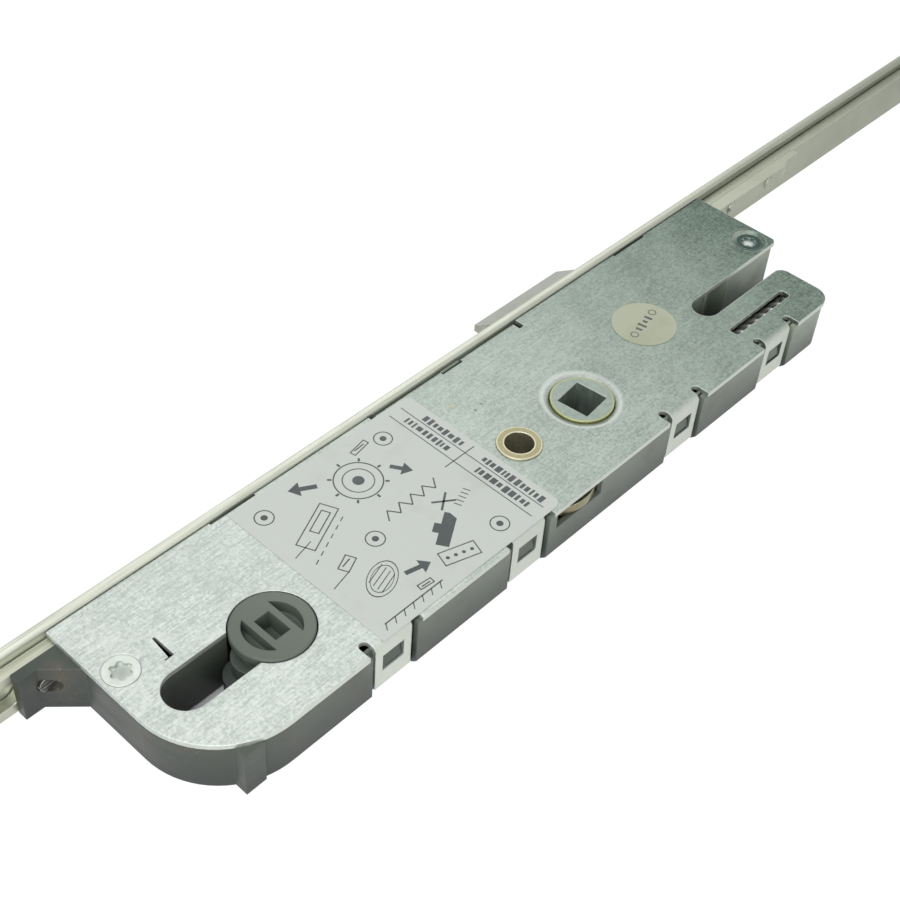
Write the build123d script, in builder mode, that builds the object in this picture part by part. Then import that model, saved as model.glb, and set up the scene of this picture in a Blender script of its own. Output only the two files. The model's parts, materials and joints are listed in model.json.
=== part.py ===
"""Middle stretch of a multipoint door lock, millimetres.

The origin is on the spindle axis, halfway between the cover and the back of the case.
+X runs along the faceplate towards the upper end, +Y towards the faceplate, +Z out of the cover.
"""
from build123d import *
import math
import os

os.makedirs("parts", exist_ok=True)

# Driving sizes of the lock
backset = 31.0               # spindle axis to the outer face of the faceplate
spindle_square = 8.0
spindle_turn = 6.2           # degrees that the square stands turned at rest
faceplate_width = 16.0
faceplate_thick = 2.4
faceplate_low = 275.0        # spindle axis to the lower end
faceplate_up = 283.0         # spindle axis to the upper end
throw_angle = 60.0           # degrees that the spindle turns to lock
overrun = 5.0                # how far cuts run past what they cut
corner_small = 0.4           # small edge breaks

# Stack of layers from the cover down to the floor
sheet = 1.2                  # cover sheet
slide_play = 0.3             # under the cover
slide_thick = 1.5
lever_gap = 0.4
lever_thick = 2.2
tail_gap = 0.4
tail_thick = 3.5
arm_gap = 0.3
arm_thick = 2.8
floor_play = 0.3
floor_thick = 1.5
case_depth = (sheet + slide_play + slide_thick + lever_gap + lever_thick + tail_gap
              + tail_thick + arm_gap + arm_thick + floor_play + floor_thick)
case_top = case_depth / 2
case_back = -case_depth / 2
cover_under = case_top - sheet
slide_top = cover_under - slide_play
slide_low = slide_top - slide_thick
lever_top = slide_low - lever_gap
lever_low = lever_top - lever_thick
tail_top = lever_low - tail_gap
tail_low = tail_top - tail_thick
arm_top = tail_low - arm_gap
arm_low = arm_top - arm_thick
floor_top = case_back + floor_thick

# Case outline, as distances from the spindle axis
case_down = 123.15           # to the lower end of the cover
case_up = 81.3               # to the upper end of the cover
horn_back = 8.4              # how far the lower horn ends before the cover's upper end
case_rear = 18.5             # to the strap side of the cover
rear_corner = 19.5           # large corner at the lower end
horn_corner = 4.5
slot_corner = 2.5
horn_nick = 0.9
open_slot_width = 6.9
open_slot_mid = 0.35         # height of the open slot's centre line
open_slot_length = 34.55     # centre of its round end to the cover's upper end
cylinder_round = 8.75        # radius of the profile hole
cylinder_half = 4.95         # half width of its slot
cylinder_reach = 25.63       # cylinder axis to the slot's far end
cylinder_margin = 5.52       # from there to the cover's lower end
cover_gap = 0.24             # between the cover and the faceplate
wall_inset = 0.35            # the wall stands this far inside the cover's edge
wall = 1.3
seat_gap = 0.3               # between bodies that only pass each other
running_gap = 0.08           # radial, round shafts

centre_distance = case_down - cylinder_margin - cylinder_reach
horn_up = case_up - horn_back
open_slot_start = case_up - open_slot_length
plate_outer = backset
plate_inner = backset - faceplate_thick
cover_front = plate_inner - cover_gap

# Drive rods, slide and gearing
rod_thick = 2.5
rod_height = 11.0
rod_gap = 0.25               # between rod and faceplate
rod_outer = plate_inner - rod_gap
rod_inner = rod_outer - rod_thick
gear_module = 1.25
gear_teeth = 30              # of the full circle that the sector is cut from
pitch_radius = gear_module * gear_teeth / 2
throw = pitch_radius * math.radians(throw_angle)
addendum_share = 0.95
dedendum_share = 1.25
pressure_angle = 20.0
backlash = 0.12
rivet_head = 0.7             # height

# Latch lever, its pivot and its pin
lever_reach = 36.0           # pivot to pin
lever_pivot_share = 0.564    # of the reach, from the spindle axis back to the pivot
lever_x = -lever_pivot_share * lever_reach
lever_y = -7.2
lever_ring_in = 9.6          # radius
lever_ring_out = 11.0        # radius
latch_travel = 10.5
lever_swing = 2 * math.degrees(math.asin(latch_travel / 2 / lever_reach))
lever_pin_radius = 1.5
lever_pin_x = lever_x + lever_reach * math.cos(math.radians(lever_swing / 2))
lever_pin_y = lever_y + latch_travel / 2
hub_radius = 7.25
spring_axis_y = -9.75
spring_axis_z = 1.2

# Latch, its tail round the lever's pin, and the spring beside the tail
latch_right = 42.0
tail_before = 2.4            # of the pin
tail_after = 4.1             # of the pin
latch_beside_tail = 1.9
latch_spring_gap = 5.6       # tail to the spring's axis
tail_left = lever_pin_x - tail_before
tail_right = lever_pin_x + tail_after
latch_left = tail_left - latch_beside_tail
latch_spring_x = tail_right + latch_spring_gap
latch_spring_z = -0.7

# Dead bolt between the cylinder and the lever
bolt_to_cylinder = 8.25
bolt_to_ring = 9.7
bolt_left = -centre_distance + cylinder_round + bolt_to_cylinder
bolt_right = lever_x - lever_ring_out - bolt_to_ring
bolt_width = bolt_right - bolt_left
bolt_mid = bolt_left + bolt_width / 2

# Bush for the handle bolt
bush_x = -20.88
bush_y = 0.26
bush_bore = 3.3              # radius
bush_barrel = 4.3            # radius
bush_flange = 5.15           # radius

# Cover screws, as distances from the cover's ends
low_screw_in = 4.45
low_screw_y = 11.6
up_screw_in = 5.0
up_screw_y = 8.7
low_screw = (-case_down + low_screw_in, low_screw_y)
up_screw = (case_up - up_screw_in, up_screw_y)

# Straps: beside the cylinder, the lever, the latch's tail and the open slot
strap_from_cylinder = 15.05
strap_from_lever = 17.5
strap_from_end = 29.9
strap_places = (-centre_distance + strap_from_cylinder, lever_x - strap_from_lever,
                tail_left + tail_before, case_up - strap_from_end)
strap_width = 9.8
strap_face = 17.65           # distance of the strap's outer face
relief_width = 2.2
relief_start = 14.5          # where the relief slots begin

# Fixings and rollers, shared out over the faceplate beyond each end of the case
low_stud_shares = (0.506, 0.203)
up_stud_shares = (0.53, 0.69)
roller_shares = (0.67, 0.85)
end_margin = 9.0             # from the faceplate's ends to the end holes
rod_margin = 15.0            # from the roller pins to the rods' ends
low_run = faceplate_low - case_down
up_run = faceplate_up - case_up
low_studs = tuple(-case_down - share * low_run for share in low_stud_shares)
up_studs = tuple(case_up + share * up_run for share in up_stud_shares)
stud_places = low_studs + up_studs
roller_places = (-case_down - roller_shares[0] * low_run, case_up + roller_shares[1] * up_run)
end_holes = (-faceplate_low + end_margin, faceplate_up - end_margin)
case_screw_margin = 8.0      # from the bolts to the screws between them
case_screw_places = (bolt_right + case_screw_margin, latch_left - case_screw_margin)

# Ends of the rods, and of the slide's block and bar that join them
rod_into_case = 15.3
rod_past_cylinder = 13.0
lower_rod_end = roller_places[0] - rod_margin
lower_rod_start = -centre_distance + rod_past_cylinder
upper_rod_start = case_up - rod_into_case
upper_rod_end = roller_places[1] + rod_margin
bar_out = 40.2               # how far the bar stands out of the case
bar_end = case_up + bar_out
bar_thick = 3.35
bar_inner = rod_inner - bar_thick
bar_low = 1.8                # underside of the slide's bar
block_past = 9.5             # block of the slide beyond the cylinder axis
block_start = -centre_distance - block_past
block_low = 3.1              # underside of the block
rod_slot_half = 3.05


def save(piece, name):
    """Labels a finished piece and writes it."""
    piece.part.label = name
    export_step(piece.part, "parts/" + name + ".step")


def ring_point(x, y, radius, degrees):
    """A point on a circle round (x, y)."""
    turn = math.radians(degrees)
    return (x + radius * math.cos(turn), y + radius * math.sin(turn))


def block(x0, x1, y0, y1, z0, z1, mode=Mode.ADD):
    """A box given by its limits."""
    with BuildSketch(Plane((x0 / 2 + x1 / 2, y0 / 2 + y1 / 2, z0))) as plan:
        Rectangle(x1 - x0, y1 - y0)
    extrude(plan.sketch, amount=z1 - z0, mode=mode)


def post(x, y, radius, z0, z1, mode=Mode.ADD):
    """A round post or hole along Z."""
    with BuildSketch(Plane((x, y, z0))) as plan:
        Circle(radius)
    extrude(plan.sketch, amount=z1 - z0, mode=mode)


def cone(x, y, radius0, radius1, z0, z1, mode=Mode.ADD):
    """A cone or countersink along Z."""
    with BuildSketch(Plane(origin=(x, y, 0), x_dir=(1, 0, 0), z_dir=(0, -1, 0))) as half:
        with BuildLine():
            Polyline((0, z0), (radius0, z0), (radius1, z1), (0, z1), close=True)
        make_face()
    revolve(half.sketch, axis=Axis((x, y, 0), (0, 0, 1)), mode=mode)


def rod_along_y(x, z, radius, y0, y1, mode=Mode.ADD):
    """A round rod or hole along Y."""
    with BuildSketch(Plane(origin=(x, y0, z), x_dir=(1, 0, 0), z_dir=(0, 1, 0))) as plan:
        Circle(radius)
    extrude(plan.sketch, amount=y1 - y0, mode=mode)


def cone_along_y(x, z, radius0, radius1, y0, y1, mode=Mode.ADD):
    """A cone or countersink along Y."""
    with BuildSketch(Plane((x, 0, z))) as half:
        with BuildLine():
            Polyline((0, y0), (radius0, y0), (radius1, y1), (0, y1), close=True)
        make_face()
    revolve(half.sketch, axis=Axis((x, 0, z), (0, 1, 0)), mode=mode)


def slot_along_y(x0, x1, half, y0, y1, mode=Mode.SUBTRACT):
    """A round-ended slot or bar, long in X, through a wall that faces Y."""
    with BuildSketch(Plane(origin=((x0 + x1) / 2, y0, 0), x_dir=(1, 0, 0), z_dir=(0, 1, 0))) as plan:
        SlotOverall(x1 - x0, 2 * half)
    extrude(plan.sketch, amount=y1 - y0, mode=mode)


def prism(points, z0, z1, mode=Mode.ADD):
    """A flat piece with the outline of the points, seen from above."""
    with BuildSketch(Plane((0, 0, z0))) as plan:
        with BuildLine():
            Polyline(*points, close=True)
        make_face()
    extrude(plan.sketch, amount=z1 - z0, mode=mode)


def side_prism(points, x0, x1, mode=Mode.ADD):
    """A piece along X whose outline is given as (y, z) points."""
    with BuildSketch(Plane(origin=(x0, 0, 0), x_dir=(0, 1, 0), z_dir=(1, 0, 0))) as plan:
        with BuildLine():
            Polyline(*points, close=True)
        make_face()
    extrude(plan.sketch, amount=x1 - x0, mode=mode)


def case_plan(inset, front):
    """The outline of the case, drawn in from the cover's edge by the inset."""
    low = -case_down + inset
    up = case_up - inset
    horn = horn_up - inset
    rear = -case_rear + inset
    half = open_slot_width / 2 + inset
    with BuildSketch() as plan:
        with BuildLine():
            Polyline((low, front), (up, front), (up, open_slot_mid), (horn, open_slot_mid),
                     (horn, rear), (low, rear), close=True)
        make_face()
        fillet(plan.vertices().sort_by_distance((low, rear, 0))[0], rear_corner - inset)
        fillet(plan.vertices().sort_by_distance((horn, rear, 0))[0], horn_corner - inset)
        with Locations((open_slot_start, open_slot_mid)):
            Circle(half, mode=Mode.SUBTRACT)
            Rectangle(up - open_slot_start + overrun, 2 * half,
                      align=(Align.MIN, Align.CENTER), mode=Mode.SUBTRACT)
        fillet(plan.vertices().sort_by_distance((horn, open_slot_mid - half, 0))[0], slot_corner)
        chamfer(plan.vertices().sort_by_distance((up, open_slot_mid + half, 0))[0], horn_nick)
    return plan.sketch


def profile_plan(grow):
    """The cylinder's profile hole, drawn out by grow."""
    half = cylinder_half + grow
    length = cylinder_reach + grow
    with BuildSketch() as plan:
        with Locations((-centre_distance, 0)):
            Circle(cylinder_round + grow)
        with Locations((-centre_distance - length + half, 0)):
            Circle(half)
            Rectangle(length - half, 2 * half, align=(Align.MIN, Align.CENTER))
    return plan.sketch


def lift(sketch, z0, z1, mode=Mode.ADD):
    """Extrudes a plan drawn at height zero from z0 to z1."""
    extrude(Plane.XY.offset(z0) * sketch, amount=z1 - z0, mode=mode)


def six_lobe(x, y, radius, z0, z1):
    """Cuts a six-lobed drive recess."""
    lobe = lobe_share * radius
    with BuildSketch(Plane((x, y, z0))) as plan:
        Circle(radius - lobe)
        with PolarLocations(radius - lobe, 6):
            Circle(lobe)
    extrude(plan.sketch, amount=z1 - z0, mode=Mode.SUBTRACT)


# Faceplate: a steel strip with rounded edges and round ends
plate_edge = 0.9             # rounding of the long edges
fixing_bore = 2.15           # radius of the door screw holes
fixing_sink_radius = 4.25    # of their countersinks
case_screw_bore = 2.0        # radius
case_sink_radius = 3.9
cylinder_screw_bore = 2.65   # radius
pin_radius = 3.0             # roller pins
pin_slot_half = 3.4
countersink_angle = 90.0
latch_lift = 0.5
latch_low = floor_top + latch_lift

with BuildPart() as faceplate:
    length = faceplate_low + faceplate_up
    middle = (faceplate_up - faceplate_low) / 2
    with BuildSketch(Plane(origin=(middle, plate_inner, 0), x_dir=(1, 0, 0), z_dir=(0, 1, 0))):
        SlotOverall(length, faceplate_width)
    extrude(amount=faceplate_thick)
    fillet(faceplate.faces().filter_by(Axis.Y).edges(), plate_edge)
    for left, right in ((latch_left, latch_right), (bolt_left, bolt_right)):
        block(left - seat_gap, right + seat_gap, plate_inner - overrun, plate_outer + overrun,
              latch_low - seat_gap, lever_top + seat_gap, Mode.SUBTRACT)
    for place in roller_places:
        slot_along_y(place - throw - pin_slot_half, place + pin_slot_half, pin_slot_half,
                     plate_inner - overrun, plate_outer + overrun)
    with Locations(Plane(origin=(0, plate_outer, 0), x_dir=(1, 0, 0), z_dir=(0, 1, 0))):
        with Locations(*[(place, 0) for place in stud_places + end_holes]):
            CounterSinkHole(fixing_bore, fixing_sink_radius, counter_sink_angle=countersink_angle)
        with Locations(*[(place, 0) for place in case_screw_places]):
            CounterSinkHole(case_screw_bore, case_sink_radius, counter_sink_angle=countersink_angle)
        with Locations((-centre_distance, 0)):
            Hole(cylinder_screw_bore)
save(faceplate, "faceplate")

# Housing: moulded case with bosses, guides, strap recesses and the foot at the lower end
base_chamfer = 1.2
lever_boss = lever_ring_in - running_gap
lever_boss_share = 0.6       # of the lever's thickness
lever_boss_top = lever_low + lever_boss_share * lever_thick
sleeve_radius = 5.3
pocket_radius = 5.5
pocket_in = 24.6             # from the cover's upper end
pocket_x = case_up - pocket_in
pocket_wall = 0.9
slot_floor_in = 18.8
slot_floor_end = case_up - slot_floor_in
screw_boss = 3.5             # radius
screw_core = 1.5             # radius of the cover screws' shanks
screw_depth = 11.0           # how deep the cover screws reach
foot_length = 10.05          # beyond the cover's lower end
foot_end = 4.2               # thickness of its end
foot_rise = 1.6              # its underside above the back of the case
foot_left = -case_down - foot_length
foot_web = foot_left + foot_end
foot_low = 23.2
foot_root = 17.2
foot_gap = 0.25              # between the foot and the rod
foot_hole_in = 5.4
foot_hole_x = foot_left + foot_hole_in
foot_hole_z = 1.0
foot_hole_radius = 1.9
foot_hole_floor = 24.2
window_before = 9.0          # window in the rear wall, either side of the lever's pivot
window_after = 5.7
window_left = lever_x - window_before
window_right = lever_x + window_after
window_sill = lever_low - seat_gap
lug_in = 8.55
lug_width = 4.8
lug_left = -case_down + lug_in
lug_right = lug_left + lug_width
lug_face = 17.75
strap_side_gap = 1.2         # beside each strap in its recess
recess_wall = 0.7
nose_half = 2.6              # catch nose in the strap's window
nose_top = 3.2
nose_low = -0.8
rib_thick = 1.3
boss_half = 3.5
boss_back = 14.4             # rear face of the bosses behind the faceplate
spring_post_half = 3.5
spring_post_face = 1.2
spring_post_rear = -2.5
plunger_half = 2.0
plunger_rib_left = 13.0
plunger_rib_right = 19.5
catch_left = -16.3
catch_right = -10.3
catch_thick = 0.7

strap_sink_share = 1.05      # of the sheet, so that a strap lies flush
recess_face = strap_face - strap_sink_share * sheet
shell_left = -case_down + wall_inset

with BuildPart() as housing:
    lift(case_plan(wall_inset, cover_front), case_back, cover_under)
    base = housing.edges().group_by(Axis.Z)[0]
    chamfer([edge for edge in base if edge.center().Y < rod_inner - wall], base_chamfer)
    lift(case_plan(wall_inset + wall, plate_inner + overrun), floor_top, cover_under + overrun,
         Mode.SUBTRACT)
    # foot and lug outside the outline
    prism(((foot_left, rod_inner - foot_gap), (foot_left, foot_low), (foot_web, foot_low),
           (shell_left, foot_root), (shell_left + wall, foot_root),
           (shell_left + wall, rod_inner - foot_gap)), case_back + foot_rise, cover_under)
    block(lug_left, lug_right, -lug_face, -lug_face + 4 * wall, case_back + base_chamfer, cover_under)
    # floor of the open slot, posts and walls that stand in the case
    slot_low = open_slot_mid - open_slot_width / 2
    slot_high = open_slot_mid + open_slot_width / 2
    block(open_slot_start - open_slot_width / 2 - wall, slot_floor_end, slot_low - wall,
          slot_high + wall, case_back, floor_top)
    post(pocket_x, open_slot_mid, pocket_radius + pocket_wall, case_back, cover_under)
    lift(profile_plan(wall), case_back, cover_under)
    for x, y in (low_screw, up_screw):
        post(x, y, screw_boss, floor_top, cover_under)
    post(lever_x, lever_y, lever_boss, floor_top, lever_boss_top)
    post(bush_x, bush_y, sleeve_radius, floor_top, lever_top)
    for place in case_screw_places:
        block(place - boss_half, place + boss_half, boss_back, plate_inner, floor_top, lever_top)
    block(catch_left, catch_right, boss_back, cover_front, floor_top, lever_top)
    block(catch_left, catch_right, cover_front - catch_thick, cover_front,
          lever_top, case_top - corner_small)
    for face in (bolt_left - seat_gap - rib_thick, bolt_right + seat_gap,
                 latch_right + seat_gap, latch_left - seat_gap - rib_thick):
        block(face, face + rib_thick, boss_back, cover_front, floor_top, lever_top)
    block(latch_spring_x - spring_post_half, latch_spring_x + spring_post_half,
          spring_post_rear, spring_post_face, floor_top, tail_top + tail_gap)
    for side in (-1, 1):
        rib = spring_axis_y + side * (plunger_half + seat_gap + rib_thick / 2)
        block(plunger_rib_left, plunger_rib_right, rib - rib_thick / 2, rib + rib_thick / 2,
              floor_top, arm_top)
    # strap recesses with their catch noses
    for place in strap_places:
        half = strap_width / 2 + strap_side_gap
        block(place - half - wall, place + half + wall, -recess_face, -recess_face + recess_wall,
              case_back + base_chamfer, cover_under)
        block(place - half, place + half, -case_rear - overrun, -recess_face,
              case_back - overrun, cover_under + overrun, Mode.SUBTRACT)
        side_prism(((-recess_face, nose_low), (-recess_face, nose_top),
                    (-strap_face + corner_small, nose_low + corner_small),
                    (-strap_face + corner_small, nose_low)), place - nose_half, place + nose_half)
    # openings through walls and floor
    block(open_slot_start, case_up + overrun, slot_low, slot_high,
          floor_top, cover_under + overrun, Mode.SUBTRACT)
    post(open_slot_start, open_slot_mid, open_slot_width / 2, floor_top, cover_under, Mode.SUBTRACT)
    post(pocket_x, open_slot_mid, pocket_radius, floor_top, cover_under, Mode.SUBTRACT)
    block(window_left, window_right, -case_rear, -case_rear + wall_inset + wall, window_sill,
          cover_under, Mode.SUBTRACT)
    block(-case_down - overrun, shell_left + wall, rod_inner - foot_gap,
          plate_inner + overrun, floor_top, cover_under, Mode.SUBTRACT)
    block(case_up - wall_inset - wall, case_up + overrun, bar_inner - rivet_head - seat_gap,
          plate_inner + overrun, floor_top, cover_under, Mode.SUBTRACT)
    lift(profile_plan(0), case_back, cover_under, Mode.SUBTRACT)
    rod_along_y(-centre_distance, 0, rod_slot_half, 0, rod_inner, Mode.SUBTRACT)
    post(0, 0, hub_radius + running_gap, case_back, floor_top, Mode.SUBTRACT)
    post(bush_x, bush_y, bush_barrel, case_back, lever_top, Mode.SUBTRACT)
    for x, y in (low_screw, up_screw):
        post(x, y, screw_core, case_top - screw_depth, cover_under, Mode.SUBTRACT)
    for place in case_screw_places:
        rod_along_y(place, 0, case_screw_bore, boss_back, plate_inner, Mode.SUBTRACT)
    rod_along_y(foot_hole_x, foot_hole_z, foot_hole_radius, foot_root, foot_hole_floor, Mode.SUBTRACT)
save(housing, "housing")

# Cover: zinc-plated sheet with four straps folded over the rear wall
bend_radius = 1.6            # outside
strap_low = -5.5
strap_window_half = 2.9
strap_window_low = -1.2
strap_window_top = 3.4
hub_hole = 7.5               # radius
collar_radius = 10.0
collar_depth = 0.5
bush_hole = 4.4              # radius
low_head = 3.75              # radius of the lower cover screw's head
up_head = 3.25               # radius of the upper one
dish_radius = 4.35
dish_depth = 0.5
spring_window_in = 37.5      # its ends, from the cover's upper end
spring_window_out = 15.7
spring_window_half = 1.35
spring_window_corner = 0.8
notch_depth = 0.5
notch_width = 12.0
notch_past_cylinder = 8.5
notch_in = 35.3
notch_starts = (-centre_distance + notch_past_cylinder, case_up - notch_in)
flange_before = 4.0          # of the first case screw
flange_after = 5.0           # of the second one
flange_left = case_screw_places[0] - flange_before
flange_right = case_screw_places[1] + flange_after
flange_gap = 0.8
flange_low = lever_top + flange_gap
flange_relief = 1.6
flange_bend = 1.1            # outside
flange_relief_deep = 25.6
tab_in = 9.85
tab_length = 3.9
tab_left = -case_down + tab_in
tab_right = tab_left + tab_length
tab_low = 7.7
tab_high = 13.5
tab_slit = 0.6
tab_share = 0.55             # of its length that the side slits run
head_gap = 0.1               # round the cover screws' heads

with BuildPart() as cover_plate:
    lift(case_plan(0, cover_front), cover_under, case_top)
    for place in strap_places:
        half = strap_width / 2
        block(place - half, place + half, -case_rear - overrun, -relief_start, cover_under - overrun,
              case_top + overrun, Mode.SUBTRACT)
        for side in (-1, 1):
            x = place + side * (half + relief_width / 2)
            post(x, -relief_start - relief_width / 2, relief_width / 2, cover_under, case_top,
                 Mode.SUBTRACT)
            block(x - relief_width / 2, x + relief_width / 2, -case_rear - overrun,
                  -relief_start - relief_width / 2, cover_under, case_top, Mode.SUBTRACT)
        with BuildSketch(Plane(origin=(place - half, 0, 0), x_dir=(0, 1, 0), z_dir=(1, 0, 0))) as strap:
            with BuildLine():
                Polyline((-relief_start, cover_under), (-relief_start, case_top),
                         (-strap_face, case_top), (-strap_face, strap_low),
                         (-strap_face + sheet, strap_low), (-strap_face + sheet, cover_under),
                         close=True)
            make_face()
            fillet(strap.vertices().sort_by_distance((-strap_face, case_top, 0))[0], bend_radius)
        extrude(amount=strap_width)
        block(place - strap_window_half, place + strap_window_half, -strap_face - overrun,
              -strap_face + sheet, strap_window_low, strap_window_top, Mode.SUBTRACT)
    # flange bent down along the faceplate
    block(flange_left, flange_right, cover_front - sheet, cover_front, flange_low, cover_under)
    for x0, x1 in ((flange_right, flange_right + flange_relief),
                   (flange_left - flange_relief, flange_left)):
        block(x0, x1, flange_relief_deep, plate_inner, cover_under, case_top, Mode.SUBTRACT)
    bent = cover_plate.edges().filter_by(Axis.X).group_by(Axis.Y)[-1].group_by(Axis.Z)[-1]
    fillet(bent.filter_by_position(Axis.X, flange_left, flange_right), flange_bend)
    block(catch_left - seat_gap, catch_right + seat_gap, cover_front - sheet - seat_gap,
          plate_inner, flange_low, case_top, Mode.SUBTRACT)
    for left in notch_starts:
        block(left, left + notch_width, cover_front - notch_depth, plate_inner, cover_under,
              case_top, Mode.SUBTRACT)
    # holes and windows
    lift(profile_plan(0), cover_under, case_top, Mode.SUBTRACT)
    post(0, 0, hub_hole, cover_under, case_top, Mode.SUBTRACT)
    cone(0, 0, hub_hole, collar_radius, case_top - collar_depth, case_top, Mode.SUBTRACT)
    post(bush_x, bush_y, bush_hole, cover_under, case_top, Mode.SUBTRACT)
    cone(low_screw[0], low_screw[1], low_head - sheet + head_gap, low_head + head_gap,
         cover_under, case_top, Mode.SUBTRACT)
    cone(up_screw[0], up_screw[1], up_head - sheet + dish_depth + head_gap, up_head + head_gap,
         cover_under, case_top - dish_depth, Mode.SUBTRACT)
    cone(up_screw[0], up_screw[1], up_head + head_gap, dish_radius, case_top - dish_depth,
         case_top, Mode.SUBTRACT)
    window_mid = case_up - (spring_window_in + spring_window_out) / 2
    with BuildSketch(Plane((window_mid, spring_axis_y, cover_under))) as window:
        RectangleRounded(spring_window_in - spring_window_out, 2 * spring_window_half,
                         spring_window_corner)
    extrude(window.sketch, amount=sheet, mode=Mode.SUBTRACT)
    # lanced tab by the lower screw, cut free at its end and along one side
    prism(((tab_right - tab_slit, tab_high), (tab_right, tab_high), (tab_right, tab_low),
           (tab_right - 2 * tab_slit, tab_low)), cover_under, case_top, Mode.SUBTRACT)
    block(tab_right - tab_share * tab_length, tab_right, tab_low, tab_low + tab_slit / 2, cover_under,
          case_top, Mode.SUBTRACT)
save(cover_plate, "cover_plate")

# Screws of the cover, the faceplate and the foot
lobe_share = 0.26
recess_share = 0.62
recess_deep_share = 0.75     # of the head's height


def cover_screw(x, y, head, top):
    """A countersunk screw with a six-lobed recess, its head level with top."""
    core = head - (top - cover_under)
    with BuildPart() as screw:
        post(x, y, screw_core, case_top - screw_depth, cover_under)
        cone(x, y, core, head, cover_under, top)
        six_lobe(x, y, recess_share * head, top - recess_deep_share * (top - cover_under), top)
    return screw


cover_screw_lower = cover_screw(low_screw[0], low_screw[1], low_head, case_top)
save(cover_screw_lower, "cover_screw_lower")
cover_screw_upper = cover_screw(up_screw[0], up_screw[1], up_head, case_top - dish_depth)
save(cover_screw_upper, "cover_screw_upper")

case_screw_length = 13.0
case_screw_shank = 1.95
case_screw_rim = 3.8
case_screw_recess = 1.5
cross_share = 2.4            # length of the cross recess over its width
with BuildPart() as case_screws:
    for place in case_screw_places:
        rod_along_y(place, 0, case_screw_shank, plate_outer - case_screw_length, plate_outer)
        cone_along_y(place, 0, case_screw_shank, case_screw_rim,
                     plate_outer - case_screw_rim + case_screw_shank, plate_outer)
        slot_half = recess_share * case_screw_rim / 4
        for half_x, half_z in ((cross_share * slot_half, slot_half),
                               (slot_half, cross_share * slot_half)):
            block(place - half_x, place + half_x, plate_outer - case_screw_recess, plate_outer,
                  -half_z, half_z, Mode.SUBTRACT)
save(case_screws, "case_screws")

foot_screw_radius = 1.75
foot_screw_face = 22.6
foot_screw_slot = 0.25
with BuildPart() as foot_screw:
    rod_along_y(foot_hole_x, foot_hole_z, foot_screw_radius, foot_screw_face, foot_hole_floor)
    block(foot_hole_x - foot_screw_radius, foot_hole_x + foot_screw_radius, foot_screw_face,
          foot_screw_face + foot_screw_radius / 3, foot_hole_z - foot_screw_slot,
          foot_hole_z + foot_screw_slot, Mode.SUBTRACT)
save(foot_screw, "foot_screw")

# Follower: hub with the square, gear sector, lug for the latch and arm for the return spring
sector_from = 18.0
sector_to = 102.0
first_tooth = 24.0
sector_teeth = 7
lug_play = 0.4               # before the latch's tail
lug_reach = tail_left - lug_play
lug_half = 1.6
arm_angle = 240.0
arm_reach = 11.0
arm_nose = 2.0               # radius
arm_half = 1.5
root_radius = pitch_radius - dedendum_share * gear_module
tip_radius = pitch_radius + addendum_share * gear_module
base_radius = pitch_radius * math.cos(math.radians(pressure_angle))
flank_steps = 6


def involute(angle):
    """The involute of an angle in radians."""
    return math.tan(angle) - angle


def tooth_points(middle):
    """Both flanks of a gear tooth, from root to tip and back."""
    pitch_half = math.pi / (2 * gear_teeth) - backlash / (2 * pitch_radius)
    start = involute(math.radians(pressure_angle))
    rising = []
    falling = []
    inside = hub_radius + wall
    for radius in [inside, base_radius] + [
            base_radius + (tip_radius - base_radius) * step / flank_steps
            for step in range(1, flank_steps + 1)]:
        lean = involute(math.acos(min(base_radius / radius, 1))) if radius > base_radius else 0
        half = math.degrees(pitch_half + start - lean)
        if radius == inside:
            half = half / 2
        rising.append(ring_point(0, 0, radius, middle - half))
        falling.append(ring_point(0, 0, radius, middle + half))
    return rising + falling[::-1]


with BuildPart() as follower:
    post(0, 0, hub_radius, case_back, case_top)
    with BuildSketch(Plane.XY.offset(slide_low)):
        Circle(root_radius)
        with BuildLine():
            Polyline((0, 0), ring_point(0, 0, 2 * root_radius, sector_from),
                     ring_point(0, 0, 2 * root_radius, (sector_from + sector_to) / 2),
                     ring_point(0, 0, 2 * root_radius, sector_to), close=True)
        make_face(mode=Mode.INTERSECT)
    extrude(amount=slide_thick)
    for number in range(sector_teeth):
        prism(tooth_points(first_tooth + number * 360 / gear_teeth), slide_low, slide_top)
    block(0, lug_reach, -lug_half, lug_half, tail_low, tail_top)
    nose = ring_point(0, 0, arm_reach, arm_angle)
    post(nose[0], nose[1], arm_nose, arm_low, arm_top)
    prism((ring_point(0, 0, arm_half, arm_angle - 90), ring_point(nose[0], nose[1], arm_half, arm_angle - 90),
           ring_point(nose[0], nose[1], arm_half, arm_angle + 90), ring_point(0, 0, arm_half, arm_angle + 90)),
          arm_low, arm_top)
    with BuildSketch(Plane.XY.offset(case_back)):
        Rectangle(spindle_square, spindle_square, rotation=spindle_turn)
    extrude(amount=case_depth, mode=Mode.SUBTRACT)
save(follower, "follower")

# Bush for the handle bolt, a flanged tube through the case
bush_proud = 0.35
with BuildPart() as handle_bush:
    post(bush_x, bush_y, bush_barrel, case_back, case_top)
    post(bush_x, bush_y, bush_flange, case_top, case_top + bush_proud)
    chamfer(handle_bush.edges().group_by(Axis.Z)[-1], bush_proud / 2)
    post(bush_x, bush_y, bush_bore, case_back, case_top + bush_proud, Mode.SUBTRACT)
save(handle_bush, "handle_bush")

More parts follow.
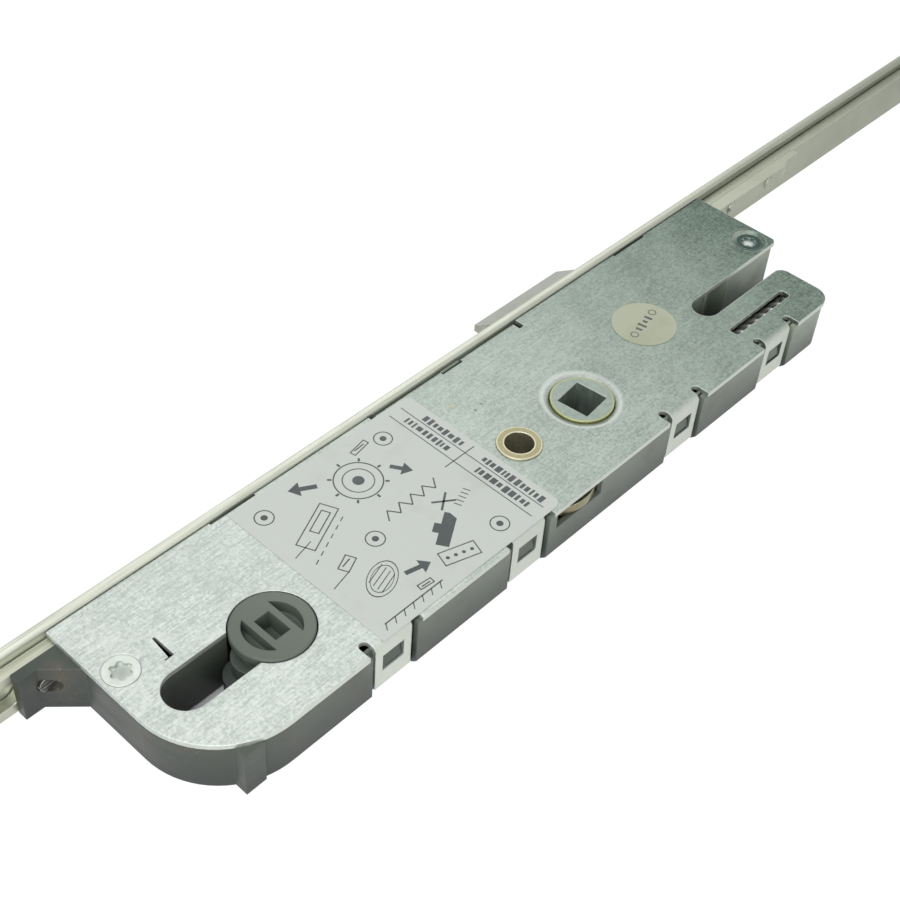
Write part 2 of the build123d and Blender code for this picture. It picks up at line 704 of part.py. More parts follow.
# Cylinder plug: a lift-out filler in the round part of the profile hole
plug_radius = cylinder_round - seat_gap
plug_proud = 0.3
grip_deep = 4.5              # middle recess of the head
moon_deep = 2.7              # the two round recesses beside it
plug_foot_gap = 0.2
plug_low = case_back + plug_foot_gap
bar_width = 1.4              # left standing between the recesses
moon_radius = 6.0
grip_half_x = 1.9
grip_half_y = 3.1
plug_head = 1.7              # thickness of the head
plug_step = 1.5              # how far the barrel stands back under the head
stem_half = cylinder_half - seat_gap
stem_long = 11.4             # lower step of the stem, from the cylinder axis
stem_short = 9.3
stem_low_top = -1.2
stem_high_top = 2.6
with BuildPart() as cylinder_plug:
    post(-centre_distance, 0, plug_radius - plug_step, plug_low, case_top)
    post(-centre_distance, 0, plug_radius, case_top - plug_head, case_top + plug_proud)
    chamfer(cylinder_plug.edges().group_by(Axis.Z)[-1], plug_proud)
    block(-centre_distance - grip_half_x, -centre_distance + grip_half_x, -grip_half_y, grip_half_y,
          case_top - grip_deep, case_top + plug_proud, Mode.SUBTRACT)
    with BuildSketch(Plane.XY.offset(case_top - moon_deep)) as moons:
        with Locations((-centre_distance, 0)):
            Circle(moon_radius)
            Rectangle(2 * (grip_half_x + bar_width), 2 * moon_radius, mode=Mode.SUBTRACT)
    extrude(moons.sketch, amount=moon_deep + plug_proud, mode=Mode.SUBTRACT)
    for reach, top in ((stem_long, stem_low_top), (stem_short, stem_high_top)):
        post(stem_half - centre_distance - reach, 0, stem_half, plug_low, top)
        block(stem_half - centre_distance - reach, -centre_distance, -stem_half, stem_half, plug_low,
              top)
save(cylinder_plug, "cylinder_plug")

# Latch bolt: bevelled head, tail with a pin slot and a ledge under the follower's lug
latch_tip = 42.0
latch_blunt = 1.6            # height of the blunt tip
latch_rear = 22.0
tail_past = 2.7              # how far the tail runs on below the pin
tail_end = lever_pin_y - tail_past
ledge_margin = 1.75
ledge_left = hub_radius + ledge_margin
ledge_top = -lug_half - seat_gap
ledge_thick = 2.2
slot_margin = 0.35
guide_radius = 1.3
guide_reach = 8.5
with BuildPart() as latch_bolt:
    side_prism(((latch_rear, latch_low), (latch_tip, latch_low), (latch_tip, latch_low + latch_blunt),
                (plate_outer + seat_gap, lever_top), (latch_rear, lever_top)), latch_left, latch_right)
    fillet(latch_bolt.edges().filter_by(Axis.Z).sort_by(Axis.Y)[-2:], corner_small)
    block(tail_left, tail_right, tail_end, latch_rear, tail_low, tail_top)
    block(ledge_left, tail_left, ledge_top - ledge_thick, ledge_top, tail_low, tail_top)
    with BuildSketch(Plane((lever_pin_x, lever_pin_y, tail_low))) as slot:
        SlotOverall(2 * (lever_pin_radius + slot_margin) + slot_margin, 2 * lever_pin_radius
                    + 2 * running_gap)
    extrude(slot.sketch, amount=tail_thick, mode=Mode.SUBTRACT)
    rod_along_y(latch_spring_x, latch_spring_z, guide_radius, latch_rear, latch_rear + 2 * guide_radius,
                Mode.SUBTRACT)
save(latch_bolt, "latch_bolt")

with BuildPart() as latch_spring_guide:
    rod_along_y(latch_spring_x, latch_spring_z, guide_radius, latch_rear - guide_reach,
                latch_rear + 2 * guide_radius)
    chamfer(latch_spring_guide.edges().group_by(Axis.Y)[0], corner_small)
save(latch_spring_guide, "latch_spring_guide")

# Latch lever: open ring round its boss, with an arm to the latch's tail
lever_half = 1.1
eye_radius = 2.6
ring_open = 15.0             # degrees, where the ring's opening begins
ring_close = 155.0           # degrees
arm_shares = ((0.0, -1.255), (0.62, -1.117), (1.24, -0.73))     # of the hub's radius
short_reach = 16.2
short_angle = 194.0


def bar(x0, y0, x1, y1, half, z0, z1):
    """A straight bar with round ends between two points."""
    turn = math.degrees(math.atan2(y1 - y0, x1 - x0))
    for x, y in ((x0, y0), (x1, y1)):
        post(x, y, half, z0, z1)
    prism((ring_point(x0, y0, half, turn - 90), ring_point(x1, y1, half, turn - 90),
           ring_point(x1, y1, half, turn + 90), ring_point(x0, y0, half, turn + 90)), z0, z1)


with BuildPart() as latch_lever:
    with BuildSketch(Plane((lever_x, lever_y, lever_low))) as ring:
        Circle(lever_ring_out)
        Circle(lever_ring_in, mode=Mode.SUBTRACT)
        with BuildLine():
            far = 2 * lever_ring_out
            Polyline((0, 0), ring_point(0, 0, far, ring_open),
                     ring_point(0, 0, far, (ring_open + ring_close) / 2),
                     ring_point(0, 0, far, ring_close), close=True)
        make_face(mode=Mode.SUBTRACT)
    extrude(ring.sketch, amount=lever_thick)
    middle_radius = (lever_ring_in + lever_ring_out) / 2
    stops = [(lever_x + middle_radius, lever_y)]
    stops += [(share_x * hub_radius, share_y * hub_radius) for share_x, share_y in arm_shares]
    stops += [(lever_pin_x, lever_pin_y)]
    for start, end in zip(stops, stops[1:]):
        bar(start[0], start[1], end[0], end[1], lever_half, lever_low, lever_top)
    root = ring_point(lever_x, lever_y, middle_radius + lever_half / 2, short_angle)
    tip = ring_point(lever_x, lever_y, short_reach, short_angle)
    bar(root[0], root[1], tip[0], tip[1], lever_half, lever_low, lever_top)
    post(lever_pin_x, lever_pin_y, eye_radius, lever_low, lever_top)
    post(lever_x, lever_y, lever_ring_in, lever_low, lever_top, Mode.SUBTRACT)
    post(lever_pin_x, lever_pin_y, lever_pin_radius, lever_low, lever_top, Mode.SUBTRACT)
save(latch_lever, "latch_lever")

with BuildPart() as lever_pin:
    post(lever_pin_x, lever_pin_y, lever_pin_radius, tail_low + seat_gap, lever_top)
save(lever_pin, "lever_pin")

# Dead bolt with its tail, and the pin that runs in the slide's sloping slot
bolt_tip = 30.8
bolt_rear = 8.0
bolt_tail_share = 0.41       # of the bolt's width
bolt_tail_half = bolt_tail_share * bolt_width / 2
bolt_tail_end = -8.0
bolt_edge = 0.6
slide_pin = 2.0              # radius
slide_pin_deep = 4.0
with BuildPart() as dead_bolt:
    block(bolt_left, bolt_right, bolt_rear, bolt_tip, latch_low, lever_top)
    chamfer(dead_bolt.faces().sort_by(Axis.Y)[-1].edges(), bolt_edge)
    block(bolt_mid - bolt_tail_half, bolt_mid + bolt_tail_half, bolt_tail_end, bolt_rear,
          latch_low, lever_top)
    post(bolt_mid, 0, slide_pin, lever_top - slide_pin_deep, lever_top, Mode.SUBTRACT)
save(dead_bolt, "dead_bolt")

with BuildPart() as dead_bolt_pin:
    post(bolt_mid, 0, slide_pin, lever_top - slide_pin_deep, slide_top)
save(dead_bolt_pin, "dead_bolt_pin")

# Main slide: strip with rack, wing with the sloping slot, lower block and upper bar
rack_from = -1
rack_to = 6
strip_high = 25.5
rack_tip = pitch_radius - addendum_share * gear_module
rack_root = pitch_radius + dedendum_share * gear_module
pitch = math.pi * gear_module
wing_low = -3.8
wing_side = 2.4
wing_before = 3.9            # of the bolt's middle
wing_after = 23.0
wing_left = bolt_mid - wing_before
wing_right = bolt_mid + wing_after
slot_play = 0.1
slot_half = slide_pin + slot_play
bar_lap = 2.0                # of the bar before the upper rod begins
bar_start = upper_rod_start - bar_lap
bar_step = 1.3
bar_step_in = 8.5            # from the bar's end
bar_step_x = bar_end - bar_step_in
bar_step_run = 3.0
nose_share = 0.45            # rounding of the bar's end
block_rivet_in = 3.0         # first rivet, from the block's end
block_rivet_pitch = 9.0
block_rivets = (block_start + block_rivet_in, block_start + block_rivet_in + block_rivet_pitch)
bar_rivet_in = 6.0           # first rivet, from the upper rod's end
bar_rivet_pitch = 17.0
bar_rivets = tuple(upper_rod_start + bar_rivet_in + number * bar_rivet_pitch for number in range(3))
block_rivet_z = 4.3
block_rivet = 0.8
bar_rivet_z = (bar_low + rod_height / 2) / 2
bar_rivet = 1.3
rivet_margin = 2.0
with BuildPart() as main_slide:
    block(block_rivets[-1] + 2 * rivet_margin, bar_start, rack_root, strip_high, slide_low, slide_top)
    lean = math.tan(math.radians(pressure_angle))
    half = pitch / 4 - backlash / 2
    for number in range(rack_from, rack_to + 1):
        x = number * pitch
        top = half - addendum_share * gear_module * lean
        foot = half + dedendum_share * gear_module * lean
        prism(((x - top, rack_tip), (x + top, rack_tip), (x + foot, rack_root), (x + foot, strip_high),
               (x - foot, strip_high), (x - foot, rack_root)), slide_low, slide_top)
    prism(((wing_left, 2 * wing_side), (wing_left, -wing_side / 2), (wing_left + wing_side, wing_low),
           (bolt_mid + wing_side, wing_low), (wing_right, throw - wing_side), (wing_right, strip_high),
           (bolt_mid + throw - 2 * wing_side, strip_high)), slide_low, slide_top)
    with BuildSketch(Plane.XY.offset(bar_low)) as bar_plan:
        with BuildLine():
            Polyline((bar_start, bar_inner), (bar_step_x, bar_inner),
                     (bar_step_x + bar_step_run, bar_inner + bar_step), (bar_end, bar_inner + bar_step),
                     (bar_end, rod_inner), (bar_start, rod_inner), close=True)
        make_face()
        fillet(bar_plan.vertices().group_by(Axis.X)[-1], nose_share * (bar_thick - bar_step))
        fillet(bar_plan.vertices().filter_by_position(Axis.X, bar_step_x, bar_step_x + bar_step_run),
               bar_step)
    extrude(amount=slide_top - bar_low)
    block(block_start, lower_rod_start, bar_inner, rod_inner, block_low, slide_top)
    with BuildSketch(Plane(origin=(bolt_mid + throw / 2, throw / 2, slide_low), x_dir=(1, 1, 0),
                           z_dir=(0, 0, 1))) as slope:
        SlotOverall(throw * math.sqrt(2) + 2 * slot_half + 2 * running_gap, 2 * slot_half)
    extrude(slope.sketch, amount=slide_thick, mode=Mode.SUBTRACT)
    for x in block_rivets:
        rod_along_y(x, block_rivet_z, block_rivet, bar_inner, rod_inner, Mode.SUBTRACT)
    for x in bar_rivets:
        rod_along_y(x, bar_rivet_z, bar_rivet, bar_inner, rod_inner, Mode.SUBTRACT)
save(main_slide, "main_slide")


# Drive rods with slots for the guide studs and holes for the roller pins
stud_shank = 2.8             # radius
slot_tail = 5.0              # how far a rod slot runs on past its stud


def rod(x0, x1, studs, pin, rivets, rivet_z, rivet_radius):
    """A flat drive rod with its slots and holes."""
    with BuildPart() as piece:
        block(x0, x1, rod_inner, rod_outer, -rod_height / 2, rod_height / 2)
        corners = piece.edges().filter_by(Axis.Y)
        fillet(corners, 2 * corner_small)
        for stud in studs:
            slot_along_y(stud - slot_tail, stud + throw + stud_shank + seat_gap, rod_slot_half,
                         rod_inner, rod_outer)
        rod_along_y(pin, 0, pin_radius, rod_inner, rod_outer, Mode.SUBTRACT)
        for x in rivets:
            rod_along_y(x, rivet_z, rivet_radius, rod_inner, rod_outer, Mode.SUBTRACT)
        if x0 < -centre_distance:
            slot_along_y(-centre_distance - rod_slot_half, -centre_distance + throw + 2 * rod_slot_half,
                         rod_slot_half, rod_inner, rod_outer)
    return piece


lower_rod = rod(lower_rod_end, lower_rod_start, low_studs, roller_places[0],
                block_rivets, block_rivet_z, block_rivet)
save(lower_rod, "lower_rod")
upper_rod = rod(upper_rod_start, upper_rod_end, up_studs, roller_places[1],
                bar_rivets, bar_rivet_z, bar_rivet)
save(upper_rod, "upper_rod")

rivet_head_share = 1.5
with BuildPart() as rod_rivets:
    for places, z, radius in ((block_rivets, block_rivet_z, block_rivet),
                              (bar_rivets, bar_rivet_z, bar_rivet)):
        for x in places:
            rod_along_y(x, z, radius, bar_inner, rod_outer)
            cone_along_y(x, z, radius, rivet_head_share * radius, bar_inner - rivet_head, bar_inner)
save(rod_rivets, "rod_rivets")

# Hollow guide studs on the faceplate, and the roller pins on the rods
stud_head = 4.3              # radius
stud_bore = 2.35             # radius, wider than the screw hole in the faceplate
stud_head_thick = 1.0
stud_gap = 0.25
with BuildPart() as rod_guide_studs:
    for place in stud_places:
        rod_along_y(place, 0, stud_shank, rod_inner - stud_gap, plate_inner)
        rod_along_y(place, 0, stud_head, rod_inner - stud_gap - stud_head_thick, rod_inner - stud_gap)
        rod_along_y(place, 0, stud_bore, rod_inner - stud_gap - stud_head_thick, plate_inner,
                    Mode.SUBTRACT)
save(rod_guide_studs, "rod_guide_studs")

roller_radius = 5.6
roller_top_radius = 6.6
roller_gap = 0.5
roller_start = plate_outer + roller_gap
roller_neck = 6.6
roller_length = 8.6
roller_recess = 1.2
spigot_radius = 2.2
pin_foot = 4.6               # radius
pin_foot_thick = 1.2
pin_cap = 3.2                # radius
pin_cap_thick = 0.8
with BuildPart() as roller_pins:
    for place in roller_places:
        rod_along_y(place, 0, pin_foot, rod_inner - pin_foot_thick, rod_inner)
        rod_along_y(place, 0, pin_radius, rod_inner, roller_start - running_gap)
        rod_along_y(place, 0, spigot_radius, roller_start - running_gap,
                    roller_start + roller_length - roller_recess + running_gap)
        rod_along_y(place, 0, pin_cap, roller_start + roller_length - roller_recess + running_gap,
                    roller_start + roller_length - roller_recess + running_gap + pin_cap_thick)
save(roller_pins, "roller_pins")


def roller(place):
    """A flanged roller on its pin."""
    with BuildPart() as piece:
        rod_along_y(place, 0, roller_radius, roller_start, roller_start + roller_neck)
        rod_along_y(place, 0, roller_top_radius, roller_start + roller_neck, roller_start + roller_length)
        chamfer(piece.edges().group_by(Axis.Y)[-1], corner_small)
        rod_along_y(place, 0, spigot_radius + running_gap, roller_start,
                    roller_start + roller_length, Mode.SUBTRACT)
        with BuildSketch(Plane(origin=(place, roller_start + roller_length - roller_recess, 0),
                               x_dir=(1, 0, 0), z_dir=(0, 1, 0))) as socket:
            RegularPolygon(pin_cap + 4 * running_gap, 6, major_radius=False)
        extrude(socket.sketch, amount=roller_recess, mode=Mode.SUBTRACT)
    return piece


save(roller(roller_places[0]), "roller_lower")
save(roller(roller_places[1]), "roller_upper")

# Spring plunger: the follower's arm pushes it against the return spring
plunger_left = -3.2
plunger_head_left = 20.0
plunger_head_right = 23.0
plunger_head_low = -13.0
plunger_head_high = -6.5
plunger_head_top = 4.4
with BuildPart() as spring_plunger:
    prism(((plunger_left, spring_axis_y - plunger_half),
           (plunger_head_left, spring_axis_y - plunger_half),
           (plunger_head_left, spring_axis_y + plunger_half),
           (plunger_left + plunger_half, spring_axis_y + plunger_half),
           (plunger_left, spring_axis_y)), arm_low, arm_top)
    block(plunger_head_left, plunger_head_right, plunger_head_low, plunger_head_high, arm_low,
          plunger_head_top)
save(spring_plunger, "spring_plunger")


# Springs: tubes swept along a helix of quarter-turn biarcs
def helix_point(origin, along, radius, pitch_length, turns):
    """Point and direction on a helix after so many turns."""
    angle = 2 * math.pi * turns
    side_a = (0, 1, 0) if along == (1, 0, 0) else (1, 0, 0)
    side_b = (0, 0, 1)
    point = Vector(*origin) + Vector(*along) * (pitch_length * turns)
    point += Vector(*side_a) * (radius * math.cos(angle)) + Vector(*side_b) * (radius * math.sin(angle))
    way = Vector(*along) * pitch_length
    way += Vector(*side_b) * (2 * math.pi * radius * math.cos(angle))
    way -= Vector(*side_a) * (2 * math.pi * radius * math.sin(angle))
    return point, way.normalized()


def coil(origin, along, radius, wire, start, end, turns):
    """A coil spring whose wire runs from start to end along its axis."""
    pitch_length = (end - start) / turns
    quarters = round(4 * turns)
    ends = [helix_point(origin, along, radius, pitch_length, step / 4) for step in range(quarters + 1)]
    edges = [Edge.make_line(ends[0][0] - ends[0][1] * wire, ends[0][0])]
    for (point_a, way_a), (point_b, way_b) in zip(ends, ends[1:]):
        gap = point_b - point_a
        both = way_a + way_b
        square = 4 - both.dot(both)
        reach = (math.sqrt(gap.dot(both) ** 2 + square * gap.dot(gap)) - gap.dot(both)) / square
        joint = (point_a + way_a * reach + point_b - way_b * reach) / 2
        edges.append(Edge.make_tangent_arc(point_a, way_a, joint))
        way = (point_b - way_b * reach) - (point_a + way_a * reach)
        edges.append(Edge.make_tangent_arc(joint, way, point_b))
    edges.append(Edge.make_line(ends[-1][0], ends[-1][0] + ends[-1][1] * wire))
    path = Wire(edges)
    with BuildPart() as piece:
        with BuildSketch(Plane(origin=ends[0][0] - ends[0][1] * wire, z_dir=ends[0][1])) as section:
            Circle(wire / 2)
        sweep(section.sketch, path=path)
    samples = [helix_point(origin, along, radius, pitch_length, step / 48)[0]
               for step in range(round(48 * turns) + 1)]
    near = min((samples[a] - samples[b]).length for a in range(0, len(samples))
               for b in range(a + 30, min(a + 90, len(samples))))
    print("least gap between the curls", round(near - wire, 2))
    return piece


return_wire = 1.2
return_radius = 2.6
return_start = plunger_head_right + return_wire
return_end = horn_up - wall_inset - wall - return_wire
return_turns = 15
return_spring = coil((return_start, spring_axis_y, spring_axis_z), (1, 0, 0), return_radius,
                     return_wire, return_start, return_end, return_turns)
save(return_spring, "return_spring")

latch_wire = 0.9
latch_spring_radius = 2.15
latch_spring_start = spring_post_face + latch_wire
latch_spring_end = latch_rear - latch_wire
latch_turns = 8
latch_spring = coil((latch_spring_x, latch_spring_start, latch_spring_z), (0, 1, 0),
                    latch_spring_radius, latch_wire, latch_spring_start, latch_spring_end, latch_turns)
save(latch_spring, "latch_spring")

# Paper label and round sticker on the cover
paper = 0.12
label_past_cylinder = 12.5
label_to_bush = 6.62
label_left = -centre_distance + label_past_cylinder
label_right = bush_x - label_to_bush
label_low = -17.4
label_high = 27.4
label_corner = 2.0
with BuildPart() as instruction_label:
    with BuildSketch(Plane((label_left / 2 + label_right / 2, label_low / 2 + label_high / 2,
                            case_top))) as sheet_plan:
        Rectangle(label_right - label_left, label_high - label_low)
        fillet(sheet_plan.vertices().sort_by(Axis.X)[-2:], label_corner)
    extrude(amount=paper)
save(instruction_label, "instruction_label")

sticker_radius = 7.7
sticker_to_slot = 16.05      # before the centre of the open slot's end
sticker_x = open_slot_start - sticker_to_slot
sticker_y = 6.6
with BuildPart() as round_sticker:
    post(sticker_x, sticker_y, sticker_radius, case_top, case_top + paper)
save(round_sticker, "round_sticker")
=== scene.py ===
# %% [markdown]
# # A multipoint door lock, lying on a pale table
#
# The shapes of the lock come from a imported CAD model. This lesson dresses it: zinc sheet,
# drawn strip, moulded plastic, yellow chromate, printed paper. Each step says what the real
# finish is, how it could be made in Blender, and why this way was picked.
#
# Everything is in metres. +X runs along the faceplate, +Y towards it, +Z out of the cover.

# %% Load the model
import bpy
import json
import math
import numpy as np
from mathutils import Matrix, Vector
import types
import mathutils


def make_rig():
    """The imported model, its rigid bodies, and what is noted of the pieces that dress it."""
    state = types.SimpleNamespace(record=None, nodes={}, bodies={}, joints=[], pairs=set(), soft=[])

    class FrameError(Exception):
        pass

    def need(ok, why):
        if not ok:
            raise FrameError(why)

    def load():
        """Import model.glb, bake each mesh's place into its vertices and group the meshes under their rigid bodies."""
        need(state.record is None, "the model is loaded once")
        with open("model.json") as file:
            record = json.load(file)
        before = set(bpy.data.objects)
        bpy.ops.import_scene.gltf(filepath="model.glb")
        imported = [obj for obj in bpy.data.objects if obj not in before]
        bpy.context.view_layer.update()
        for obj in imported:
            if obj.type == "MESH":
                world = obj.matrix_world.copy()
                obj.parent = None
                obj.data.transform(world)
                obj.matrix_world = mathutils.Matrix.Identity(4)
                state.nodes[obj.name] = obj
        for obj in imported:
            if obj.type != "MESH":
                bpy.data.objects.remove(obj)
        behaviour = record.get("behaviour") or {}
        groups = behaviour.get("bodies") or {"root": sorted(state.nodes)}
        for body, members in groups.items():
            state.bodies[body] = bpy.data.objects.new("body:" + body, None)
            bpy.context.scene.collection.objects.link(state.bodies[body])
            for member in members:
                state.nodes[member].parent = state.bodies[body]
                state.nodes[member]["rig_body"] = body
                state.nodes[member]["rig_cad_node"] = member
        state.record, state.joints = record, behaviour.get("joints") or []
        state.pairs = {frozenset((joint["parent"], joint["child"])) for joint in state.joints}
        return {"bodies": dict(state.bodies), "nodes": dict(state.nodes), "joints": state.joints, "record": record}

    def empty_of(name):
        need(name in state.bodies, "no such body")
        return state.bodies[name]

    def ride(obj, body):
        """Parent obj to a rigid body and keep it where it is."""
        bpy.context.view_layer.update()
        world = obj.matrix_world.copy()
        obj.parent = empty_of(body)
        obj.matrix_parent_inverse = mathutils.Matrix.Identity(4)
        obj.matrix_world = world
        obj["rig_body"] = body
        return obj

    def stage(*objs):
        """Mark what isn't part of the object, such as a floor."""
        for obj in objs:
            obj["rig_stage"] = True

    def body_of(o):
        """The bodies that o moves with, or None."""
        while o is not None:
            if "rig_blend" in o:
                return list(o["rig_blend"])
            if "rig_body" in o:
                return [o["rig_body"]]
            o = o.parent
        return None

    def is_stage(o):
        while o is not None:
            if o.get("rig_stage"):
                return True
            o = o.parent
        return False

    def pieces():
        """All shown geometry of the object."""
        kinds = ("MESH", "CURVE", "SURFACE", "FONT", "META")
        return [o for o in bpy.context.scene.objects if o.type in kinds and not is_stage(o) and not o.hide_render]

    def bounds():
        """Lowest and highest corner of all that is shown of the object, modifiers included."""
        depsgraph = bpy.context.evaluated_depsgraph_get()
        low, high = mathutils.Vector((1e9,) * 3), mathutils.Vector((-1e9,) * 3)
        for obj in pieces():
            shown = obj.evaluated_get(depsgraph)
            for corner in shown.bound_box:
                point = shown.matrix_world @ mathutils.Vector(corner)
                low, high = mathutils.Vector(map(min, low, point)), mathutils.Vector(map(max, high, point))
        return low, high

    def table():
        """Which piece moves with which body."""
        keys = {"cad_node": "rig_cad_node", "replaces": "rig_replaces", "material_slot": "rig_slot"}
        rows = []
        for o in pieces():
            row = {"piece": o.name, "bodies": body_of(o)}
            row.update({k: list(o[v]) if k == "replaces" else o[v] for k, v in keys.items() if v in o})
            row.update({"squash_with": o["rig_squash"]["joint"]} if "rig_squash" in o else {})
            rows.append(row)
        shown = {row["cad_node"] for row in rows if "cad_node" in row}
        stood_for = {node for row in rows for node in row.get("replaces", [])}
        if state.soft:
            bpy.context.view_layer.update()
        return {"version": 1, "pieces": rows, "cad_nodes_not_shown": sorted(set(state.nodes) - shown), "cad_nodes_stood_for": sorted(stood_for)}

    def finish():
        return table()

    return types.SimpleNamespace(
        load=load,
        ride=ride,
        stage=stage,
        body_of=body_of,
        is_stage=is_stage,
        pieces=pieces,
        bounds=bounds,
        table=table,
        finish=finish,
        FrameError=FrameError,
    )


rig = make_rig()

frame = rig.load()
cad_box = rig.bounds()
nodes = frame["nodes"]
MM = 0.001
print("nodes:", len(nodes))
print("box in mm:", [[round(c / MM, 1) for c in corner] for corner in cad_box])

# %% [markdown]
# ## The camera
#
# The photographer stood at the lower end of the lock and looked along it, so the rails run
# out of the picture. A camera is a place, a view direction and a lens. The direction is
# worked out from three angles: round the lock, above it, and the tilt of the horizon.

# %% Place the camera
# the place is in metres, the angles in degrees, the focal length in pixels of the square photo
CAMERA_PLACE = np.array([-209.759, -140.596, 235.764]) * MM
AROUND, ABOVE, TILT = -49.7, 44.606, 4.287
FOCAL_PIXELS, PICTURE = 1526.845, 900
SENSOR = 36.0
CLIP_START = 0.01


def camera_axes(around, above, tilt):
    """Right, up and back of a camera: back points from the lock to the camera, right lies
    level, and both right and up are then turned about back by the tilt."""
    a, e, r = np.radians([around, above, tilt])
    back = np.array([np.sin(a) * np.cos(e), -np.cos(a) * np.cos(e), np.sin(e)])
    right = np.cross([0.0, 0.0, 1.0], back)
    right /= np.linalg.norm(right)
    up = np.cross(back, right)
    return (np.cos(r) * right + np.sin(r) * up, np.cos(r) * up - np.sin(r) * right, back)


camera_data = bpy.data.cameras.new("camera")
camera_data.sensor_width = SENSOR
camera_data.lens = SENSOR * FOCAL_PIXELS / PICTURE
camera_data.clip_start = CLIP_START
camera = bpy.data.objects.new("camera", camera_data)
camera_turn = Matrix(np.array(camera_axes(AROUND, ABOVE, TILT)).T.tolist()).to_4x4()
camera.matrix_world = Matrix.Translation(Vector(CAMERA_PLACE)) @ camera_turn
bpy.context.scene.collection.objects.link(camera)
bpy.context.scene.camera = camera
print("lens", round(camera_data.lens, 2), "mm")

# %% [markdown]
# ## Light and table
#
# The lock was shot on white, under wide soft light. Zinc shows what it mirrors, so the light
# is mostly large pale areas: two soft panels of about the same strength, one overhead and one
# from the lower left, and a weaker one from the far side. The table is white to the camera and
# to mirrors through Light Path, and keeps a soft shadow.

# %% Helpers for nodes
def add(tree, kind, **values):
    """Adds a shader node. A value goes to the socket of that name, or to the setting."""
    made = tree.nodes.new(kind)
    for name, value in values.items():
        label = name.replace("_", " ")
        if label in made.inputs:
            made.inputs[label].default_value = value
        else:
            setattr(made, name, value)
    return made


def join(tree, *pairs):
    """Links (node, output) to (node, input) for each pair given."""
    for source, out, target, into in pairs:
        tree.links.new(source.outputs[out], target.inputs[into])


print("helpers: add, join")

# %% White surroundings
SKY, SKY_STRENGTH = (0.86, 0.9, 0.93, 1), 0.44
WHITE = (1, 1, 1, 1)
scene = bpy.context.scene
scene.view_settings.view_transform = "Standard"
world = bpy.data.worlds.new("studio")
scene.world = world
world.use_nodes = True
wt = world.node_tree
wt.nodes.clear()
path = add(wt, "ShaderNodeLightPath")
soft = add(wt, "ShaderNodeBackground", Color=SKY, Strength=SKY_STRENGTH)
white = add(wt, "ShaderNodeBackground", Color=WHITE, Strength=1.0)
glossy = add(wt, "ShaderNodeMath", operation="MAXIMUM")
seen = add(wt, "ShaderNodeMath", operation="MAXIMUM")
mix = add(wt, "ShaderNodeMixShader")
out = add(wt, "ShaderNodeOutputWorld")
join(wt, (path, "Is Camera Ray", seen, 0), (path, "Is Glossy Ray", glossy, 0),
     (path, "Is Transmission Ray", glossy, 1), (glossy, 0, seen, 1), (seen, 0, mix, 0),
     (soft, 0, mix, 1), (white, 0, mix, 2), (mix, 0, out, "Surface"))
print("world:", world.name)

# %% Place the lamps
def panel(name, place, aim, size, watts, colour=(1, 1, 1)):
    """A square area light at a place, aimed at a point."""
    data = bpy.data.lights.new(name, "AREA")
    data.size = size
    data.energy = watts
    data.color = colour
    lamp = bpy.data.objects.new(name, data)
    facing = (Vector(place) - Vector(aim)).to_track_quat("Z", "Y").to_matrix().to_4x4()
    lamp.matrix_world = Matrix.Translation(Vector(place)) @ facing
    scene.collection.objects.link(lamp)


panel("overhead", (-0.3, -0.02, 0.5), aim=(-0.03, 0, 0), size=0.4, watts=1.5)
panel("side", (-0.55, -0.55, 0.35), aim=(-0.05, 0, 0), size=0.45, watts=1.6,
      colour=(0.98, 0.99, 1))
panel("far", (0.5, 0.5, 0.5), aim=(0.05, 0, 0), size=0.5, watts=0.9)
print("lamps:", [o.name for o in scene.objects if o.type == "LIGHT"])

# %% Lay the table
TABLE = cad_box[0][2] - 0.02 * MM
REACH = 3.0
WHITE_SHARE, GLOW = 0.93, 1.08
TABLE_GREY = (0.8, 0.8, 0.8, 1)
CASE_MIDDLE, CASE_HALF = (-0.0175, 0.0075), (0.0955, 0.0165)
corners = np.array([[-1, -1], [1, -1], [1, 1], [-1, 1]]) * REACH
table_mesh = bpy.data.meshes.new("table")
table_mesh.from_pydata([(x, y, TABLE) for x, y in corners.tolist()], [], [(0, 1, 2, 3)])
table = bpy.data.objects.new("table", table_mesh)
scene.collection.objects.link(table)
table_finish = bpy.data.materials.new("white_table")
table_finish.use_nodes = True
tt = table_finish.node_tree
tt.nodes.clear()
path = add(tt, "ShaderNodeLightPath")
seen = add(tt, "ShaderNodeMath", operation="MAXIMUM")
share = add(tt, "ShaderNodeMath", operation="MULTIPLY")
share.inputs[1].default_value = WHITE_SHARE
matt = add(tt, "ShaderNodeBsdfDiffuse", Color=TABLE_GREY)
glow = add(tt, "ShaderNodeEmission", Color=WHITE, Strength=GLOW)
mix = add(tt, "ShaderNodeMixShader")
out = add(tt, "ShaderNodeOutputMaterial")
